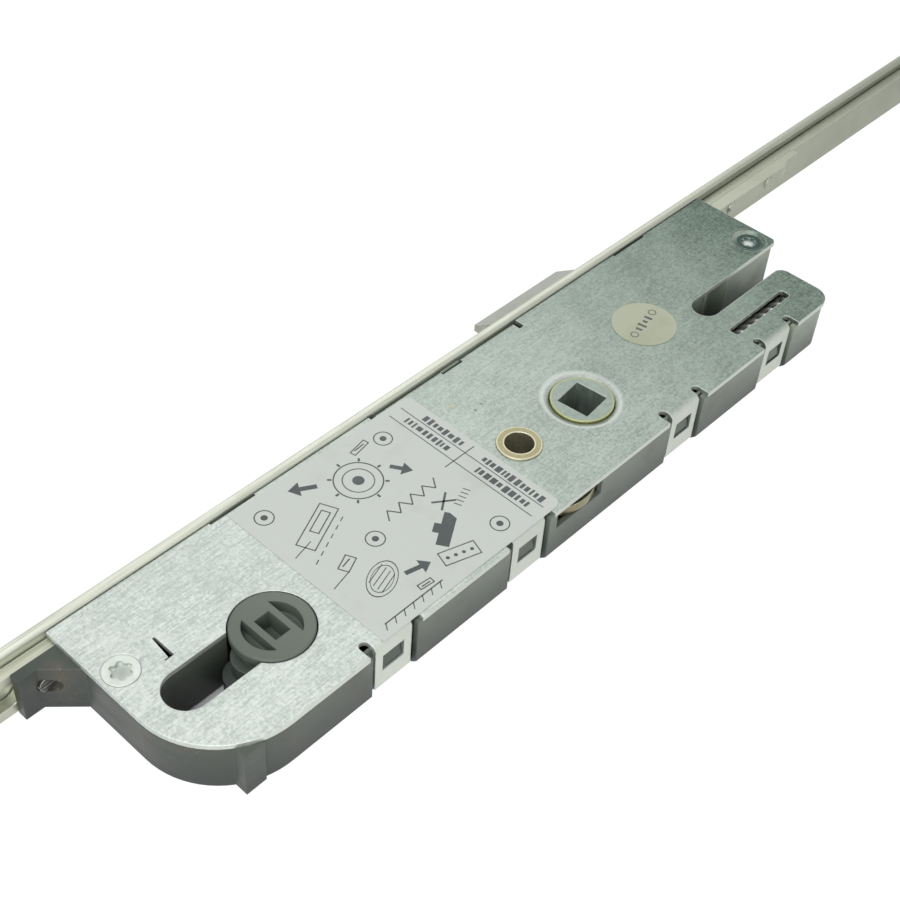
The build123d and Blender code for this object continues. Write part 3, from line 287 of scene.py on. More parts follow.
# under the case the table lies in the dark: it's seen there only through the case's openings
spot = add(tt, "ShaderNodeTexCoord")
centred = add(tt, "ShaderNodeVectorMath", operation="SUBTRACT")
centred.inputs[1].default_value = (*CASE_MIDDLE, TABLE)
apart = add(tt, "ShaderNodeVectorMath", operation="ABSOLUTE")
spread = add(tt, "ShaderNodeSeparateXYZ")
past_x = add(tt, "ShaderNodeMath", operation="GREATER_THAN")
past_y = add(tt, "ShaderNodeMath", operation="GREATER_THAN")
past_x.inputs[1].default_value, past_y.inputs[1].default_value = CASE_HALF
open_air = add(tt, "ShaderNodeMath", operation="MAXIMUM")
lit = add(tt, "ShaderNodeMath", operation="MULTIPLY")
join(tt, (path, "Is Camera Ray", seen, 0), (path, "Is Glossy Ray", seen, 1),
     (seen, 0, share, 0), (spot, "Object", centred, 0), (centred, 0, apart, 0),
     (apart, 0, spread, 0), (spread, 0, past_x, 0), (spread, 1, past_y, 0),
     (past_x, 0, open_air, 0), (past_y, 0, open_air, 1), (share, 0, lit, 0),
     (open_air, 0, lit, 1), (lit, 0, mix, 0), (matt, 0, mix, 1), (glow, 0, mix, 2),
     (mix, 0, out, "Surface"))
table.data.materials.append(table_finish)
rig.stage(table)
print("table at", round(TABLE / MM, 2), "mm")

# %% [markdown]
# ## Shared effects
#
# Several finishes need the same things: edges that catch light because they are slightly
# round, scratches along one way, the crystal pattern of zinc, soft rings and spots at a place,
# and blotches of dirt. Each is a node group, built once and placed with its own values. A
# group only gives values, masks and normals; the shader stays in the material.

# %% Helpers for groups
def new_group(name, inputs, outputs):
    """An empty shader group with float (f) and vector (v) sockets."""
    made = bpy.data.node_groups.new(name, "ShaderNodeTree")
    kinds = {"f": "NodeSocketFloat", "v": "NodeSocketVector"}
    for label, kind, value in inputs:
        socket = made.interface.new_socket(name=label, in_out="INPUT", socket_type=kinds[kind])
        socket.default_value = value
    for label, kind in outputs:
        made.interface.new_socket(name=label, in_out="OUTPUT", socket_type=kinds[kind])
    return made, made.nodes.new("NodeGroupInput"), made.nodes.new("NodeGroupOutput")


def maths(tree, operation, a=None, b=None, c=None, clamp=False):
    """A Math node; a number is set, a (node, output) pair is linked."""
    made = tree.nodes.new("ShaderNodeMath")
    made.operation = operation
    made.use_clamp = clamp
    for place, value in enumerate((a, b, c)):
        if isinstance(value, tuple):
            tree.links.new(value[0].outputs[value[1]], made.inputs[place])
        elif value is not None:
            made.inputs[place].default_value = value
    return made


def scaled(tree, source, times, plus, clamp=False):
    """A source times a number or a second source, plus a number or a third."""
    return maths(tree, "MULTIPLY_ADD", source, times, plus, clamp)


print("helpers: new_group, maths, scaled")

# %% Group: soft edges
edges, gin, gout = new_group("soft_edges", [("Radius", "f", 0.0003), ("Gain", "f", 6.0)],
                             [("Normal", "v"), ("Wear", "f")])
bevel = add(edges, "ShaderNodeBevel", samples=6)
true = add(edges, "ShaderNodeNewGeometry")
dot = add(edges, "ShaderNodeVectorMath", operation="DOT_PRODUCT")
join(edges, (gin, "Radius", bevel, "Radius"), (bevel, 0, dot, 0), (true, "True Normal", dot, 1),
     (bevel, 0, gout, "Normal"))
away = maths(edges, "SUBTRACT", 1.0, (dot, "Value"))
wear = maths(edges, "MULTIPLY", (away, 0), (gin, "Gain"), clamp=True)
join(edges, (wear, 0, gout, "Wear"))
print("group", edges.name)

# %% Group: scratches along one way
GAIN_RISE = 4.0
scratches, gin, gout = new_group(
    "drawn_scratches", [("Along", "v", (1, 60, 60)), ("Scale", "f", 60.0), ("Sharpness", "f", 0.6)],
    [("Value", "f")])
place = add(scratches, "ShaderNodeTexCoord")
stretch = add(scratches, "ShaderNodeVectorMath", operation="MULTIPLY")
noise = add(scratches, "ShaderNodeTexNoise", Detail=4.0, Roughness=0.65)
join(scratches, (place, "Object", stretch, 0), (gin, "Along", stretch, 1),
     (stretch, 0, noise, "Vector"), (gin, "Scale", noise, "Scale"))
centre = maths(scratches, "SUBTRACT", (noise, 0), 0.5)
gain = scaled(scratches, (gin, "Sharpness"), times=GAIN_RISE, plus=1.0)
value = scaled(scratches, (centre, 0), times=(gain, 0), plus=0.5, clamp=True)
join(scratches, (value, 0, gout, "Value"))
print("group", scratches.name)

# %% Group: zinc spangle
CRYSTAL_SHARE, CLOUD_SHARE, GRAIN_SHARE = 0.4, 1.8, 3.6
spangle, gin, gout = new_group("zinc_spangle", [("Scale", "f", 420.0), ("Mottle", "f", 0.5)],
                               [("Value", "f"), ("Grain", "f")])
place = add(spangle, "ShaderNodeTexCoord")
bend = add(spangle, "ShaderNodeTexNoise", Scale=900.0, Detail=2.0)
shift = add(spangle, "ShaderNodeVectorMath", operation="MULTIPLY_ADD")
shift.inputs[1].default_value = (MM, MM, MM)
cells = add(spangle, "ShaderNodeTexVoronoi", feature="F1")
fine = add(spangle, "ShaderNodeTexNoise", Scale=2600.0, Detail=3.0)
middling = add(spangle, "ShaderNodeTexNoise", Scale=1500.0, Detail=5.0, Roughness=0.8)
cloud = add(spangle, "ShaderNodeTexNoise", Scale=60.0, Detail=6.0, Roughness=0.62)
grey = add(spangle, "ShaderNodeSeparateColor")
join(spangle, (place, "Object", bend, "Vector"), (bend, 1, shift, 0), (place, "Object", shift, 2),
     (shift, 0, cells, "Vector"), (gin, "Scale", cells, "Scale"), (place, "Object", fine, "Vector"),
     (place, "Object", cloud, "Vector"), (place, "Object", middling, "Vector"),
     (cells, "Color", grey, 0))
# each pattern swings about zero by its own share
crystal, clouds, grains = [
    scaled(spangle, (pattern, 0), times=swing, plus=-swing / 2)
    for pattern, swing in ((grey, CRYSTAL_SHARE), (cloud, CLOUD_SHARE), (middling, GRAIN_SHARE))]
both = maths(spangle, "ADD", (clouds, 0), (crystal, 0))
both = maths(spangle, "ADD", (both, 0), (grains, 0))
value = scaled(spangle, (both, 0), times=(gin, "Mottle"), plus=0.5, clamp=True)
join(spangle, (value, 0, gout, "Value"), (fine, 0, gout, "Grain"))
print("group", spangle.name)

# %% Group: a soft ring round an axis
# with a radius of zero the ring is a soft spot
RING_TOP, ROUNDING = 0.8, 0.5
ridge, gin, gout = new_group("soft_ring", [("Middle", "v", (0, 0, 0)), ("Radius", "f", 0.009),
                                           ("Half", "f", 0.001)], [("Value", "f")])
place = add(ridge, "ShaderNodeTexCoord")
shift = add(ridge, "ShaderNodeVectorMath", operation="SUBTRACT")
flat = add(ridge, "ShaderNodeVectorMath", operation="MULTIPLY")
flat.inputs[1].default_value = (1, 1, 0)
far = add(ridge, "ShaderNodeVectorMath", operation="LENGTH")
join(ridge, (place, "Object", shift, 0), (gin, "Middle", shift, 1), (shift, 0, flat, 0),
     (flat, 0, far, 0))
off = maths(ridge, "SUBTRACT", (far, "Value"), (gin, "Radius"))
off = maths(ridge, "ABSOLUTE", (off, 0))
off = maths(ridge, "DIVIDE", (off, 0), (gin, "Half"))
near = maths(ridge, "SUBTRACT", 1.0, (off, 0), clamp=True)
value = maths(ridge, "SMOOTH_MIN", (near, 0), RING_TOP, ROUNDING)
join(ridge, (value, 0, gout, "Value"))
print("group", ridge.name)

# %% Group: dirt and dust
BLOTCH_GAIN, SPECK_SIZE = 4.0, 0.13
grime, gin, gout = new_group("grime", [("Scale", "f", 90.0), ("Cover", "f", 0.4)],
                             [("Mask", "f"), ("Speck", "f")])
place = add(grime, "ShaderNodeTexCoord")
blotch = add(grime, "ShaderNodeTexNoise", Detail=6.0, Roughness=0.65)
dots = add(grime, "ShaderNodeTexVoronoi", feature="F1", Scale=900.0)
join(grime, (place, "Object", blotch, "Vector"), (gin, "Scale", blotch, "Scale"),
     (place, "Object", dots, "Vector"))
low = maths(grime, "SUBTRACT", 1.0, (gin, "Cover"))
over = maths(grime, "SUBTRACT", (blotch, 0), (low, 0))
mask = maths(grime, "MULTIPLY", (over, 0), BLOTCH_GAIN, clamp=True)
small = maths(grime, "LESS_THAN", (dots, "Distance"), SPECK_SIZE)
join(grime, (mask, 0, gout, "Mask"), (small, 0, gout, "Speck"))
print("group", grime.name)


# %% [markdown]
# ## Building a finish
#
# All the finishes here are one Principled shader with three linked things: a colour that
# varies, a roughness that varies, and a bump. A small builder keeps each recipe readable.

# %% The recipe builder
def finish(name, metallic, roughness, **sockets):
    """A material with its Principled shader, and the tree to hang effects on."""
    made = bpy.data.materials.new(name)
    made.use_nodes = True
    tree = made.node_tree
    shader = tree.nodes["Principled BSDF"]
    shader.inputs["Metallic"].default_value = metallic
    shader.inputs["Roughness"].default_value = roughness
    for socket, value in sockets.items():
        shader.inputs[socket.replace("_", " ")].default_value = value
    return made, tree, shader


def use(tree, group, **values):
    """Places a node group with its values."""
    made = tree.nodes.new("ShaderNodeGroup")
    made.node_tree = group
    for label, value in values.items():
        made.inputs[label].default_value = value
    return made


def blend_colour(tree, factor, first, second):
    """Mixes two colours; each is a colour or a (node, output) pair."""
    made = tree.nodes.new("ShaderNodeMix")
    made.data_type = "RGBA"
    tree.links.new(factor[0].outputs[factor[1]], made.inputs[0])
    for socket, value in ((6, first), (7, second)):
        if isinstance(value[0], bpy.types.Node):
            tree.links.new(value[0].outputs[value[1]], made.inputs[socket])
        else:
            made.inputs[socket].default_value = (*value, 1)
    return (made, 2)


def lay(tree, base, colour, mask, strength):
    """Lays a colour over a base where the mask is, no more than the strength."""
    share = maths(tree, "MULTIPLY", mask, strength)
    return blend_colour(tree, (share, 0), base, colour)


def remap(tree, source, start=0.0, end=1.0, low=0.0, high=1.0):
    """Maps start to end onto low to high, and holds beyond them."""
    made = tree.nodes.new("ShaderNodeMapRange")
    tree.links.new(source[0].outputs[source[1]], made.inputs[0])
    for socket, value in enumerate((start, end, low, high), 1):
        made.inputs[socket].default_value = value
    return (made, 0)


def bump(tree, shader, height, distance, strength, normal=None):
    """A Bump node on the shader, over another normal if one is given."""
    made = add(tree, "ShaderNodeBump", Distance=distance, Strength=strength)
    tree.links.new(height[0].outputs[height[1]], made.inputs["Height"])
    if normal:
        tree.links.new(normal[0].outputs[normal[1]], made.inputs["Normal"])
    tree.links.new(made.outputs[0], shader.inputs["Normal"])
    return made


def feed(tree, source, shader, socket):
    """Links a (node, output) pair to a socket of the shader."""
    tree.links.new(source[0].outputs[source[1]], shader.inputs[socket])


print("helpers: finish, use, blend_colour, lay, remap, bump, feed")

# %% Places on the lock
# middles of rings and spots, seen from above the cover; the fine bump is the depth of a grain
SPINDLE = (0, 0, 0)
HANDLE_BUSH = (-0.02088, 0.00026, 0)
UPPER_SCREW = (0.0763, 0.0087, 0)
LOWER_SCREW = (-0.1187, 0.0116, 0)
LANCED_TAB = (-0.1095, 0.0115, 0)
FINE_BUMP = 0.00003
print("places:", SPINDLE, HANDLE_BUSH, UPPER_SCREW, LOWER_SCREW, LANCED_TAB)

# %% [markdown]
# ## Galvanised sheet
#
# The cover is cut from zinc-coated sheet. Zinc freezes into crystals, so the sheet is mottled.
# It is painted pale at the lower end and dark green at the upper end, a painted reflection of
# the bright and dark surroundings it mirrors, and handling leaves thin scratches and dull
# spots. Voronoi cells bent by noise give crystals, a stretched noise gives the rolling
# direction, and a mask keeps the scuffs in patches. The pressed lips round two holes are a
# soft ring bump, and the collar's lip also gets a painted highlight. Faces turned towards -Y,
# such as the folded straps, get painted light. A soft spot gives the lanced tab a pale rim,
# a painted highlight, and soft spots give three stains.

# %% Galvanised sheet: its patterns
# the two zinc tones each run from dark to light, and the blend from one to the other along the
# sheet is a painted reflection; the other tones are laid over them
PALE_ZINC_PAINTED_REFLECTION = ((0.42, 0.47, 0.43), (0.66, 0.71, 0.66))
GREEN_ZINC_PAINTED_REFLECTION = ((0.008, 0.040, 0.018), (0.140, 0.205, 0.152))
# the fold tone is painted light for faces turned towards -Y
FOLD_PAINTED_LIGHT, DIRT_TONE, SCUFF_TONE = (0.72, 0.75, 0.66), (0.30, 0.32, 0.29), (0.72, 0.75, 0.73)
# the tab and lip tones are painted highlights
TAB_PAINTED_HIGHLIGHT, LIP_PAINTED_HIGHLIGHT, BARE_ZINC = (0.86, 0.90, 0.87), (0.66, 0.70, 0.67), (0.70, 0.73, 0.72)
# x, y, radius and colour of each stain
STAINS = ((-0.023, 0.0185, 0.0006, (0.42, 0.40, 0.10)),
          (-0.020, 0.014, 0.0005, (0.08, 0.08, 0.06)),
          (-0.0175, 0.0145, 0.0004, (0.10, 0.10, 0.08)))
STREAK_SHARE, STREAK_LOSS, FOLD_SHARE = 0.56, 0.42, 0.75
LIP_HEIGHT = 0.00045
sheet, tree, shader = finish("galvanised_sheet", metallic=0.62, roughness=0.44)
soft_edge = use(tree, edges, Radius=0.00035, Gain=5.0)
crystals = use(tree, spangle, Scale=1300.0, Mottle=0.9)
rolled = use(tree, scratches, Along=(1.0, 13.0, 1.0), Scale=210.0, Sharpness=0.8)
scuffs = use(tree, scratches, Along=(3.0, 40.0, 1.0), Scale=70.0, Sharpness=1.4)
patch = use(tree, grime, Scale=45.0, Cover=0.34)
dirt = use(tree, grime, Scale=70.0, Cover=0.36)
collar = use(tree, ridge, Middle=SPINDLE, Radius=0.0086, Half=0.0012)
dish = use(tree, ridge, Middle=UPPER_SCREW, Radius=0.0047, Half=0.0012)
print("sheet patterns:", len(tree.nodes), "nodes")

# %% Galvanised sheet: colour
place = add(tree, "ShaderNodeTexCoord")
axes = add(tree, "ShaderNodeSeparateXYZ")
join(tree, (place, "Object", axes, 0))
upward = remap(tree, (axes, 0), start=-0.1, end=0.1)
streaks = maths(tree, "SUBTRACT", (rolled, 0), 0.5)
streak_share = scaled(tree, upward, times=-STREAK_LOSS, plus=STREAK_SHARE)
streaks = maths(tree, "MULTIPLY", (streaks, 0), (streak_share, 0))
tone = maths(tree, "ADD", (streaks, 0), (crystals, "Value"), clamp=True)
pale = blend_colour(tree, (tone, 0), *PALE_ZINC_PAINTED_REFLECTION)
green = blend_colour(tree, (tone, 0), *GREEN_ZINC_PAINTED_REFLECTION)
# painted reflection: pale at the lower end, dark green at the upper end, for the bright and dark surroundings the zinc
# mirrors
base = blend_colour(tree, upward, pale, green)
# painted light: faces turned towards -Y, such as the folded straps, are painted lighter
facing = add(tree, "ShaderNodeNewGeometry")
sides = add(tree, "ShaderNodeSeparateXYZ")
join(tree, (facing, "True Normal", sides, 0))
fold_light_share = maths(tree, "MULTIPLY", (sides, 1), -FOLD_SHARE, clamp=True)
base = blend_colour(tree, (fold_light_share, 0), base, FOLD_PAINTED_LIGHT)
base = lay(tree, base, DIRT_TONE, mask=(dirt, "Mask"), strength=0.2)
scuffed = maths(tree, "MULTIPLY", (scuffs, 0), (patch, "Mask"))
base = lay(tree, base, SCUFF_TONE, mask=(scuffed, 0), strength=0.3)
# painted highlight: a pale soft spot round the lanced tab
tab_highlight_spot = use(tree, ridge, Middle=LANCED_TAB, Radius=0.0, Half=0.0032)
base = lay(tree, base, TAB_PAINTED_HIGHLIGHT, mask=(tab_highlight_spot, 0), strength=0.4)
lip = maths(tree, "MAXIMUM", (collar, 0), (dish, 0))
# painted highlight: the collar's pressed lip is painted lighter
base = lay(tree, base, LIP_PAINTED_HIGHLIGHT, mask=(collar, 0), strength=0.55)
for x, y, radius, colour in STAINS:
    stain = use(tree, ridge, Middle=(x, y, 0), Radius=0.0, Half=radius)
    base = blend_colour(tree, (stain, 0), base, colour)
worn = blend_colour(tree, (soft_edge, "Wear"), base, BARE_ZINC)
feed(tree, worn, shader, "Base Color")
print("sheet with colour:", len(tree.nodes), "nodes")

# %% Galvanised sheet: roughness and bumps
rough = scaled(tree, (crystals, "Value"), times=0.16, plus=0.34)
feed(tree, (rough, 0), shader, "Roughness")
grain = scaled(tree, (crystals, "Grain"), times=0.5, plus=(rolled, 0))
inner = bump(tree, shader, (grain, 0), FINE_BUMP, strength=0.25, normal=(soft_edge, "Normal"))
bump(tree, shader, (lip, 0), LIP_HEIGHT, strength=0.8, normal=(inner, 0))
print("finish", sheet.name)

# %% [markdown]
# ## Drawn strip and rods
#
# The faceplate and the rods are rolled steel with bright zinc. The rolling leaves long fine
# lines, so the noise is stretched a lot along X. The rods are warmer than the faceplate, and
# both are painted darker towards the upper end, a painted reflection of darker surroundings.
# The castings, screws, rollers and springs use the same recipe with shorter lines.

# %% Recipe: drawn metal
BRIGHT_EDGE = (0.8, 0.81, 0.78)
DULL_SHARE = 0.62


def drawn_metal(name, dark, light, roughness, metallic=0.9, lines=(1.0, 70.0, 70.0), far_painted_reflection=None):
    """Zinc on rolled steel: long lines, some dull blotches, bright edges. Given a far colour, the
    colour drifts to it towards the upper end, a painted reflection of darker surroundings."""
    made, tree, shader = finish(name, metallic, roughness)
    soft_edge = use(tree, edges, Radius=0.0004, Gain=4.0)
    drawn = use(tree, scratches, Along=lines, Scale=45.0, Sharpness=0.5)
    dirt = use(tree, grime, Scale=60.0, Cover=0.5)
    base = blend_colour(tree, (drawn, 0), dark, light)
    # painted reflection: the colour darkens towards the upper end
    if far_painted_reflection:
        place = add(tree, "ShaderNodeTexCoord")
        axes = add(tree, "ShaderNodeSeparateXYZ")
        join(tree, (place, "Object", axes, 0))
        upward = remap(tree, (axes, 0), start=-0.14, end=0.2, high=0.85)
        base = blend_colour(tree, upward, base, far_painted_reflection)
    dull = tuple(DULL_SHARE * c for c in dark)
    base = lay(tree, base, dull, mask=(dirt, "Mask"), strength=0.3)
    worn = lay(tree, base, BRIGHT_EDGE, mask=(soft_edge, "Wear"), strength=0.6)
    feed(tree, worn, shader, "Base Color")
    rough = scaled(tree, (drawn, 0), times=0.18, plus=roughness - 0.08)
    rough = scaled(tree, (dirt, "Mask"), times=0.12, plus=(rough, 0))
    feed(tree, (rough, 0), shader, "Roughness")
    bump(tree, shader, (drawn, 0), FINE_BUMP, strength=0.3, normal=(soft_edge, "Normal"))
    return made


def ring_tone(material, middle, radius, half, colour):
    """Lays a soft ring of another colour over a material's own colour."""
    tree = material.node_tree
    shader = tree.nodes["Principled BSDF"]
    band = use(tree, ridge, Middle=middle, Radius=radius, Half=half)
    plain = shader.inputs["Base Color"].links[0].from_node
    feed(tree, blend_colour(tree, (band, 0), (plain, 2), colour), shader, "Base Color")


print("recipes: drawn_metal, ring_tone")

# %% Finishes: drawn metal
# the far colours are painted reflection, darker towards the upper end
strip = drawn_metal("faceplate_zinc", (0.56, 0.59, 0.50), (0.78, 0.80, 0.69),
                    roughness=0.36, metallic=0.7, far_painted_reflection=(0.22, 0.245, 0.185))
rod_zinc = drawn_metal("rod_zinc", (0.46, 0.48, 0.38), (0.66, 0.67, 0.55),
                       roughness=0.38, metallic=0.7, far_painted_reflection=(0.26, 0.285, 0.215))
dull_zinc = drawn_metal("dull_zinc", (0.62, 0.68, 0.61), (0.74, 0.79, 0.72),
                        roughness=0.5, metallic=0.4, lines=(10.0, 10.0, 10.0))
bright = drawn_metal("bright_zinc", (0.50, 0.52, 0.52), (0.62, 0.64, 0.64),
                     roughness=0.36, lines=(8.0, 8.0, 8.0))
cast = drawn_metal("ground_casting", (0.30, 0.32, 0.275), (0.42, 0.44, 0.38),
                   roughness=0.4, metallic=0.7, lines=(10.0, 10.0, 14.0))
hub = drawn_metal("follower_zinc", (0.21, 0.26, 0.225), (0.33, 0.385, 0.34),
                  roughness=0.42, metallic=0.65, lines=(14.0, 14.0, 3.0))
ring_tone(hub, SPINDLE, radius=0.0073, half=0.0006, colour=(0.46, 0.47, 0.16))
wire = drawn_metal("spring_wire", (0.70, 0.71, 0.66), (0.88, 0.89, 0.84),
                   roughness=0.34, metallic=0.6, lines=(20.0, 20.0, 20.0))
# the foot screw is made near black
dark_head = drawn_metal("near_black_screw", (0.05, 0.05, 0.045), (0.12, 0.115, 0.10),
                        roughness=0.4, metallic=0.5, lines=(20.0, 20.0, 20.0))
ring_tone(dull_zinc, LOWER_SCREW, radius=0.0, half=0.0026, colour=(0.36, 0.40, 0.36))
print("finishes", strip.name, rod_zinc.name, bright.name, cast.name, wire.name)

# %% [markdown]
# ## Yellow chromate
#
# The bush, the lever and the plunger are zinc with yellow chromate. It shifts from straw to
# olive over a few millimetres and wears to bare zinc on its edges. Two soft rings brighten
# the rims of the bush as a painted highlight.

# %% Finish: yellow chromate
# the rim colour is a painted highlight
CHROMATE_RIM_HIGHLIGHT = (0.74, 0.73, 0.58)
chromate, tree, shader = finish("yellow_chromate", metallic=0.85, roughness=0.36)
soft_edge = use(tree, edges, Radius=0.0003, Gain=4.0)
tint = use(tree, spangle, Scale=160.0, Mottle=0.9)
base = blend_colour(tree, (tint, "Value"), (0.23, 0.21, 0.115), (0.37, 0.345, 0.21))
worn = blend_colour(tree, (soft_edge, "Wear"), base, (0.66, 0.65, 0.50))
# painted highlight: two soft rings brighten the rims of the bush
rims = use(tree, ridge, Middle=HANDLE_BUSH, Radius=0.0049, Half=0.00022)
inner_rim = use(tree, ridge, Middle=HANDLE_BUSH, Radius=0.0034, Half=0.00025)
rim_highlights = maths(tree, "MAXIMUM", (rims, 0), (inner_rim, 0))
worn = lay(tree, worn, CHROMATE_RIM_HIGHLIGHT, mask=(rim_highlights, 0), strength=0.8)
feed(tree, worn, shader, "Base Color")
feed(tree, remap(tree, (tint, "Value"), low=0.26, high=0.5), shader, "Roughness")
bump(tree, shader, (tint, "Grain"), FINE_BUMP, strength=0.3, normal=(soft_edge, "Normal"))
print("finish", chromate.name)

# %% [markdown]
# ## Moulded plastic
#
# The case is glass-filled nylon, dark grey and slightly glossy, with flow marks and brownish
# dust in blotches, most of it at the foot. In the photo its wall is paler by the cover and
# at the upper end, and nearly black at the foot, so two more blends follow height and length:
# the first is painted light, the second makes the wall darker towards the foot.

# %% Recipe: moulded plastic
# the pale wall colour is painted light; the other dark colour makes the lower end darker
WALL_PAINTED_LIGHT, LOWER_END_DARK = (0.52, 0.60, 0.46), (0.020, 0.026, 0.023)
DUST, SPECK, WORN_PLASTIC = (0.125, 0.105, 0.080), (0.36, 0.33, 0.28), (0.22, 0.22, 0.225)


def moulded(name, dark, light, roughness, dust_cover, dust_share):
    """Moulded plastic: fine grain, soft flow marks and dust in blotches."""
    made, tree, shader = finish(name, 0.0, roughness, Specular_IOR_Level=0.42)
    soft_edge = use(tree, edges, Radius=0.00045, Gain=3.0)
    flow = use(tree, scratches, Along=(1.0, 1.0, 5.0), Scale=70.0, Sharpness=0.4)
    dust = use(tree, grime, Scale=110.0, Cover=dust_cover)
    place = add(tree, "ShaderNodeTexCoord")
    grain = add(tree, "ShaderNodeTexNoise", Scale=3200.0, Detail=2.0)
    join(tree, (place, "Object", grain, "Vector"))
    base = blend_colour(tree, (flow, 0), dark, light)
    axes = add(tree, "ShaderNodeSeparateXYZ")
    join(tree, (place, "Object", axes, 0))
    # painted light: the wall is painted paler by the cover and towards the upper end
    rise = remap(tree, (axes, 2), start=-0.007, end=0.007)
    upper = remap(tree, (axes, 0), start=0.03, end=0.08)
    wall_light_share = scaled(tree, upper, times=0.6, plus=0.38)
    wall_light_share = maths(tree, "MULTIPLY", rise, (wall_light_share, 0))
    base = blend_colour(tree, (wall_light_share, 0), base, WALL_PAINTED_LIGHT)
    # darker towards the lower end, nearly black at the foot
    lower = remap(tree, (axes, 0), start=-0.045, end=-0.14)
    base = lay(tree, base, LOWER_END_DARK, mask=lower, strength=0.95)
    near_foot = scaled(tree, lower, times=1.3 * dust_share, plus=0.5 * dust_share)
    amount = maths(tree, "MULTIPLY", (dust, "Mask"), (near_foot, 0))
    dusty = blend_colour(tree, (amount, 0), base, DUST)
    specks = maths(tree, "MULTIPLY", (dust, "Speck"), (amount, 0))
    dusty = blend_colour(tree, (specks, 0), dusty, SPECK)
    worn = lay(tree, dusty, WORN_PLASTIC, mask=(soft_edge, "Wear"), strength=0.35)
    feed(tree, worn, shader, "Base Color")
    rough = scaled(tree, (flow, 0), times=0.14, plus=roughness - 0.07)
    rough = scaled(tree, (dust, "Mask"), times=0.15, plus=(rough, 0))
    feed(tree, (rough, 0), shader, "Roughness")
    bump(tree, shader, (grain, 0), FINE_BUMP, strength=0.35, normal=(soft_edge, "Normal"))
    return made


print("recipe: moulded")

# %% Finishes: moulded plastic
case_plastic = moulded("case_plastic", (0.036, 0.045, 0.040), (0.068, 0.080, 0.071),
                       roughness=0.42, dust_cover=0.5, dust_share=0.5)
plug_plastic = moulded("plug_plastic", (0.040, 0.056, 0.057), (0.060, 0.078, 0.078),
                       roughness=0.45, dust_cover=0.38, dust_share=0.15)
print("finishes", case_plastic.name, plug_plastic.name)

# %% [markdown]
# ## Coated screw, paper and sticker
#
# One screw has a green friction coating that is rubbed off in its recess. The label is matt
# coated paper with faint creases. The round sticker is older, yellowed and stained.

# %% Finish: green coat
green_coat, tree, shader = finish("green_coat", metallic=0.45, roughness=0.38)
soft_edge = use(tree, edges, Radius=0.0003, Gain=5.0)
rub = use(tree, grime, Scale=500.0, Cover=0.5)
base = blend_colour(tree, (rub, "Mask"), (0.002, 0.030, 0.020), (0.010, 0.080, 0.055))
worn_star = use(tree, ridge, Middle=UPPER_SCREW, Radius=0.0, Half=0.0021)
base = blend_colour(tree, (worn_star, 0), base, (0.80, 0.86, 0.80))
worn = blend_colour(tree, (soft_edge, "Wear"), base, (0.30, 0.42, 0.38))
feed(tree, worn, shader, "Base Color")
feed(tree, remap(tree, (rub, "Mask"), low=0.3, high=0.48), shader, "Roughness")
bump(tree, shader, (rub, "Mask"), FINE_BUMP, strength=0.3, normal=(soft_edge, "Normal"))
print("finish", green_coat.name)

# %% Recipe: paper
CREASE_DEPTH = 0.00008


def paper_finish(name, clean, stained, cover, roughness):
    """Paper: a near-even tone, stains in soft blotches, faint creases."""
    made, tree, shader = finish(name, 0.0, roughness)
    stain = use(tree, grime, Scale=75.0, Cover=cover)
    crease = use(tree, scratches, Along=(3.0, 9.0, 1.0), Scale=28.0, Sharpness=0.9)
    place = add(tree, "ShaderNodeTexCoord")
    fibre = add(tree, "ShaderNodeTexNoise", Scale=1800.0, Detail=4.0)
    join(tree, (place, "Object", fibre, "Vector"))
    base = lay(tree, clean, stained, mask=(stain, "Mask"), strength=0.5)
    feed(tree, base, shader, "Base Color")
    rough = remap(tree, (stain, "Mask"), low=roughness - 0.08, high=roughness + 0.1)
    feed(tree, rough, shader, "Roughness")
    height = scaled(tree, (fibre, 0), times=0.25, plus=(crease, 0))
    bump(tree, shader, (height, 0), CREASE_DEPTH, strength=0.25)
    return made


print("recipe: paper_finish")

# %% Finishes: paper, sticker and ink
INK_DEPTH = 0.00001
paper = paper_finish("label_paper", (0.61, 0.635, 0.585), (0.50, 0.505, 0.44),
                     cover=0.42, roughness=0.5)
old_paper = paper_finish("sticker_paper", (0.47, 0.50, 0.36), (0.38, 0.385, 0.245),
                         cover=0.5, roughness=0.55)
ink, tree, shader = finish("label_ink", metallic=0.0, roughness=0.5)
fade = use(tree, grime, Scale=240.0, Cover=0.5)
inked = blend_colour(tree, (fade, "Mask"), (0.055, 0.065, 0.065), (0.13, 0.145, 0.145))
feed(tree, inked, shader, "Base Color")
feed(tree, remap(tree, (fade, "Mask"), low=0.4, high=0.6), shader, "Roughness")
bump(tree, shader, (fade, "Mask"), INK_DEPTH, strength=0.3)
print("finishes", paper.name, old_paper.name, ink.name)

# %% [markdown]
# ## Dressing the CAD pieces
#
# Each CAD piece keeps its mesh and gets a finish. The table below is all there is to it.

# %% Assign the finishes
dress = {
    sheet: ["cover_plate"],
    strip: ["faceplate"],
    rod_zinc: ["lower_rod", "upper_rod", "main_slide", "rod_rivets"],
    dull_zinc: ["cover_screw_lower"],
    bright: ["rod_guide_studs", "roller_lower", "roller_upper", "roller_pins", "case_screws"],
    cast: ["latch_bolt", "dead_bolt"],
    hub: ["follower"],
    wire: ["return_spring", "latch_spring", "latch_spring_guide", "lever_pin", "dead_bolt_pin"],
    dark_head: ["foot_screw"],
    chromate: ["handle_bush", "latch_lever", "spring_plunger"],
    case_plastic: ["housing"],
    plug_plastic: ["cylinder_plug"],
    green_coat: ["cover_screw_upper"],
    paper: ["instruction_label"],
    old_paper: ["round_sticker"],
}
for material, names in dress.items():
    for name in names:
        nodes[name].data.materials.clear()
        nodes[name].data.materials.append(material)
left_bare = sorted(set(nodes) - {name for names in dress.values() for name in names})
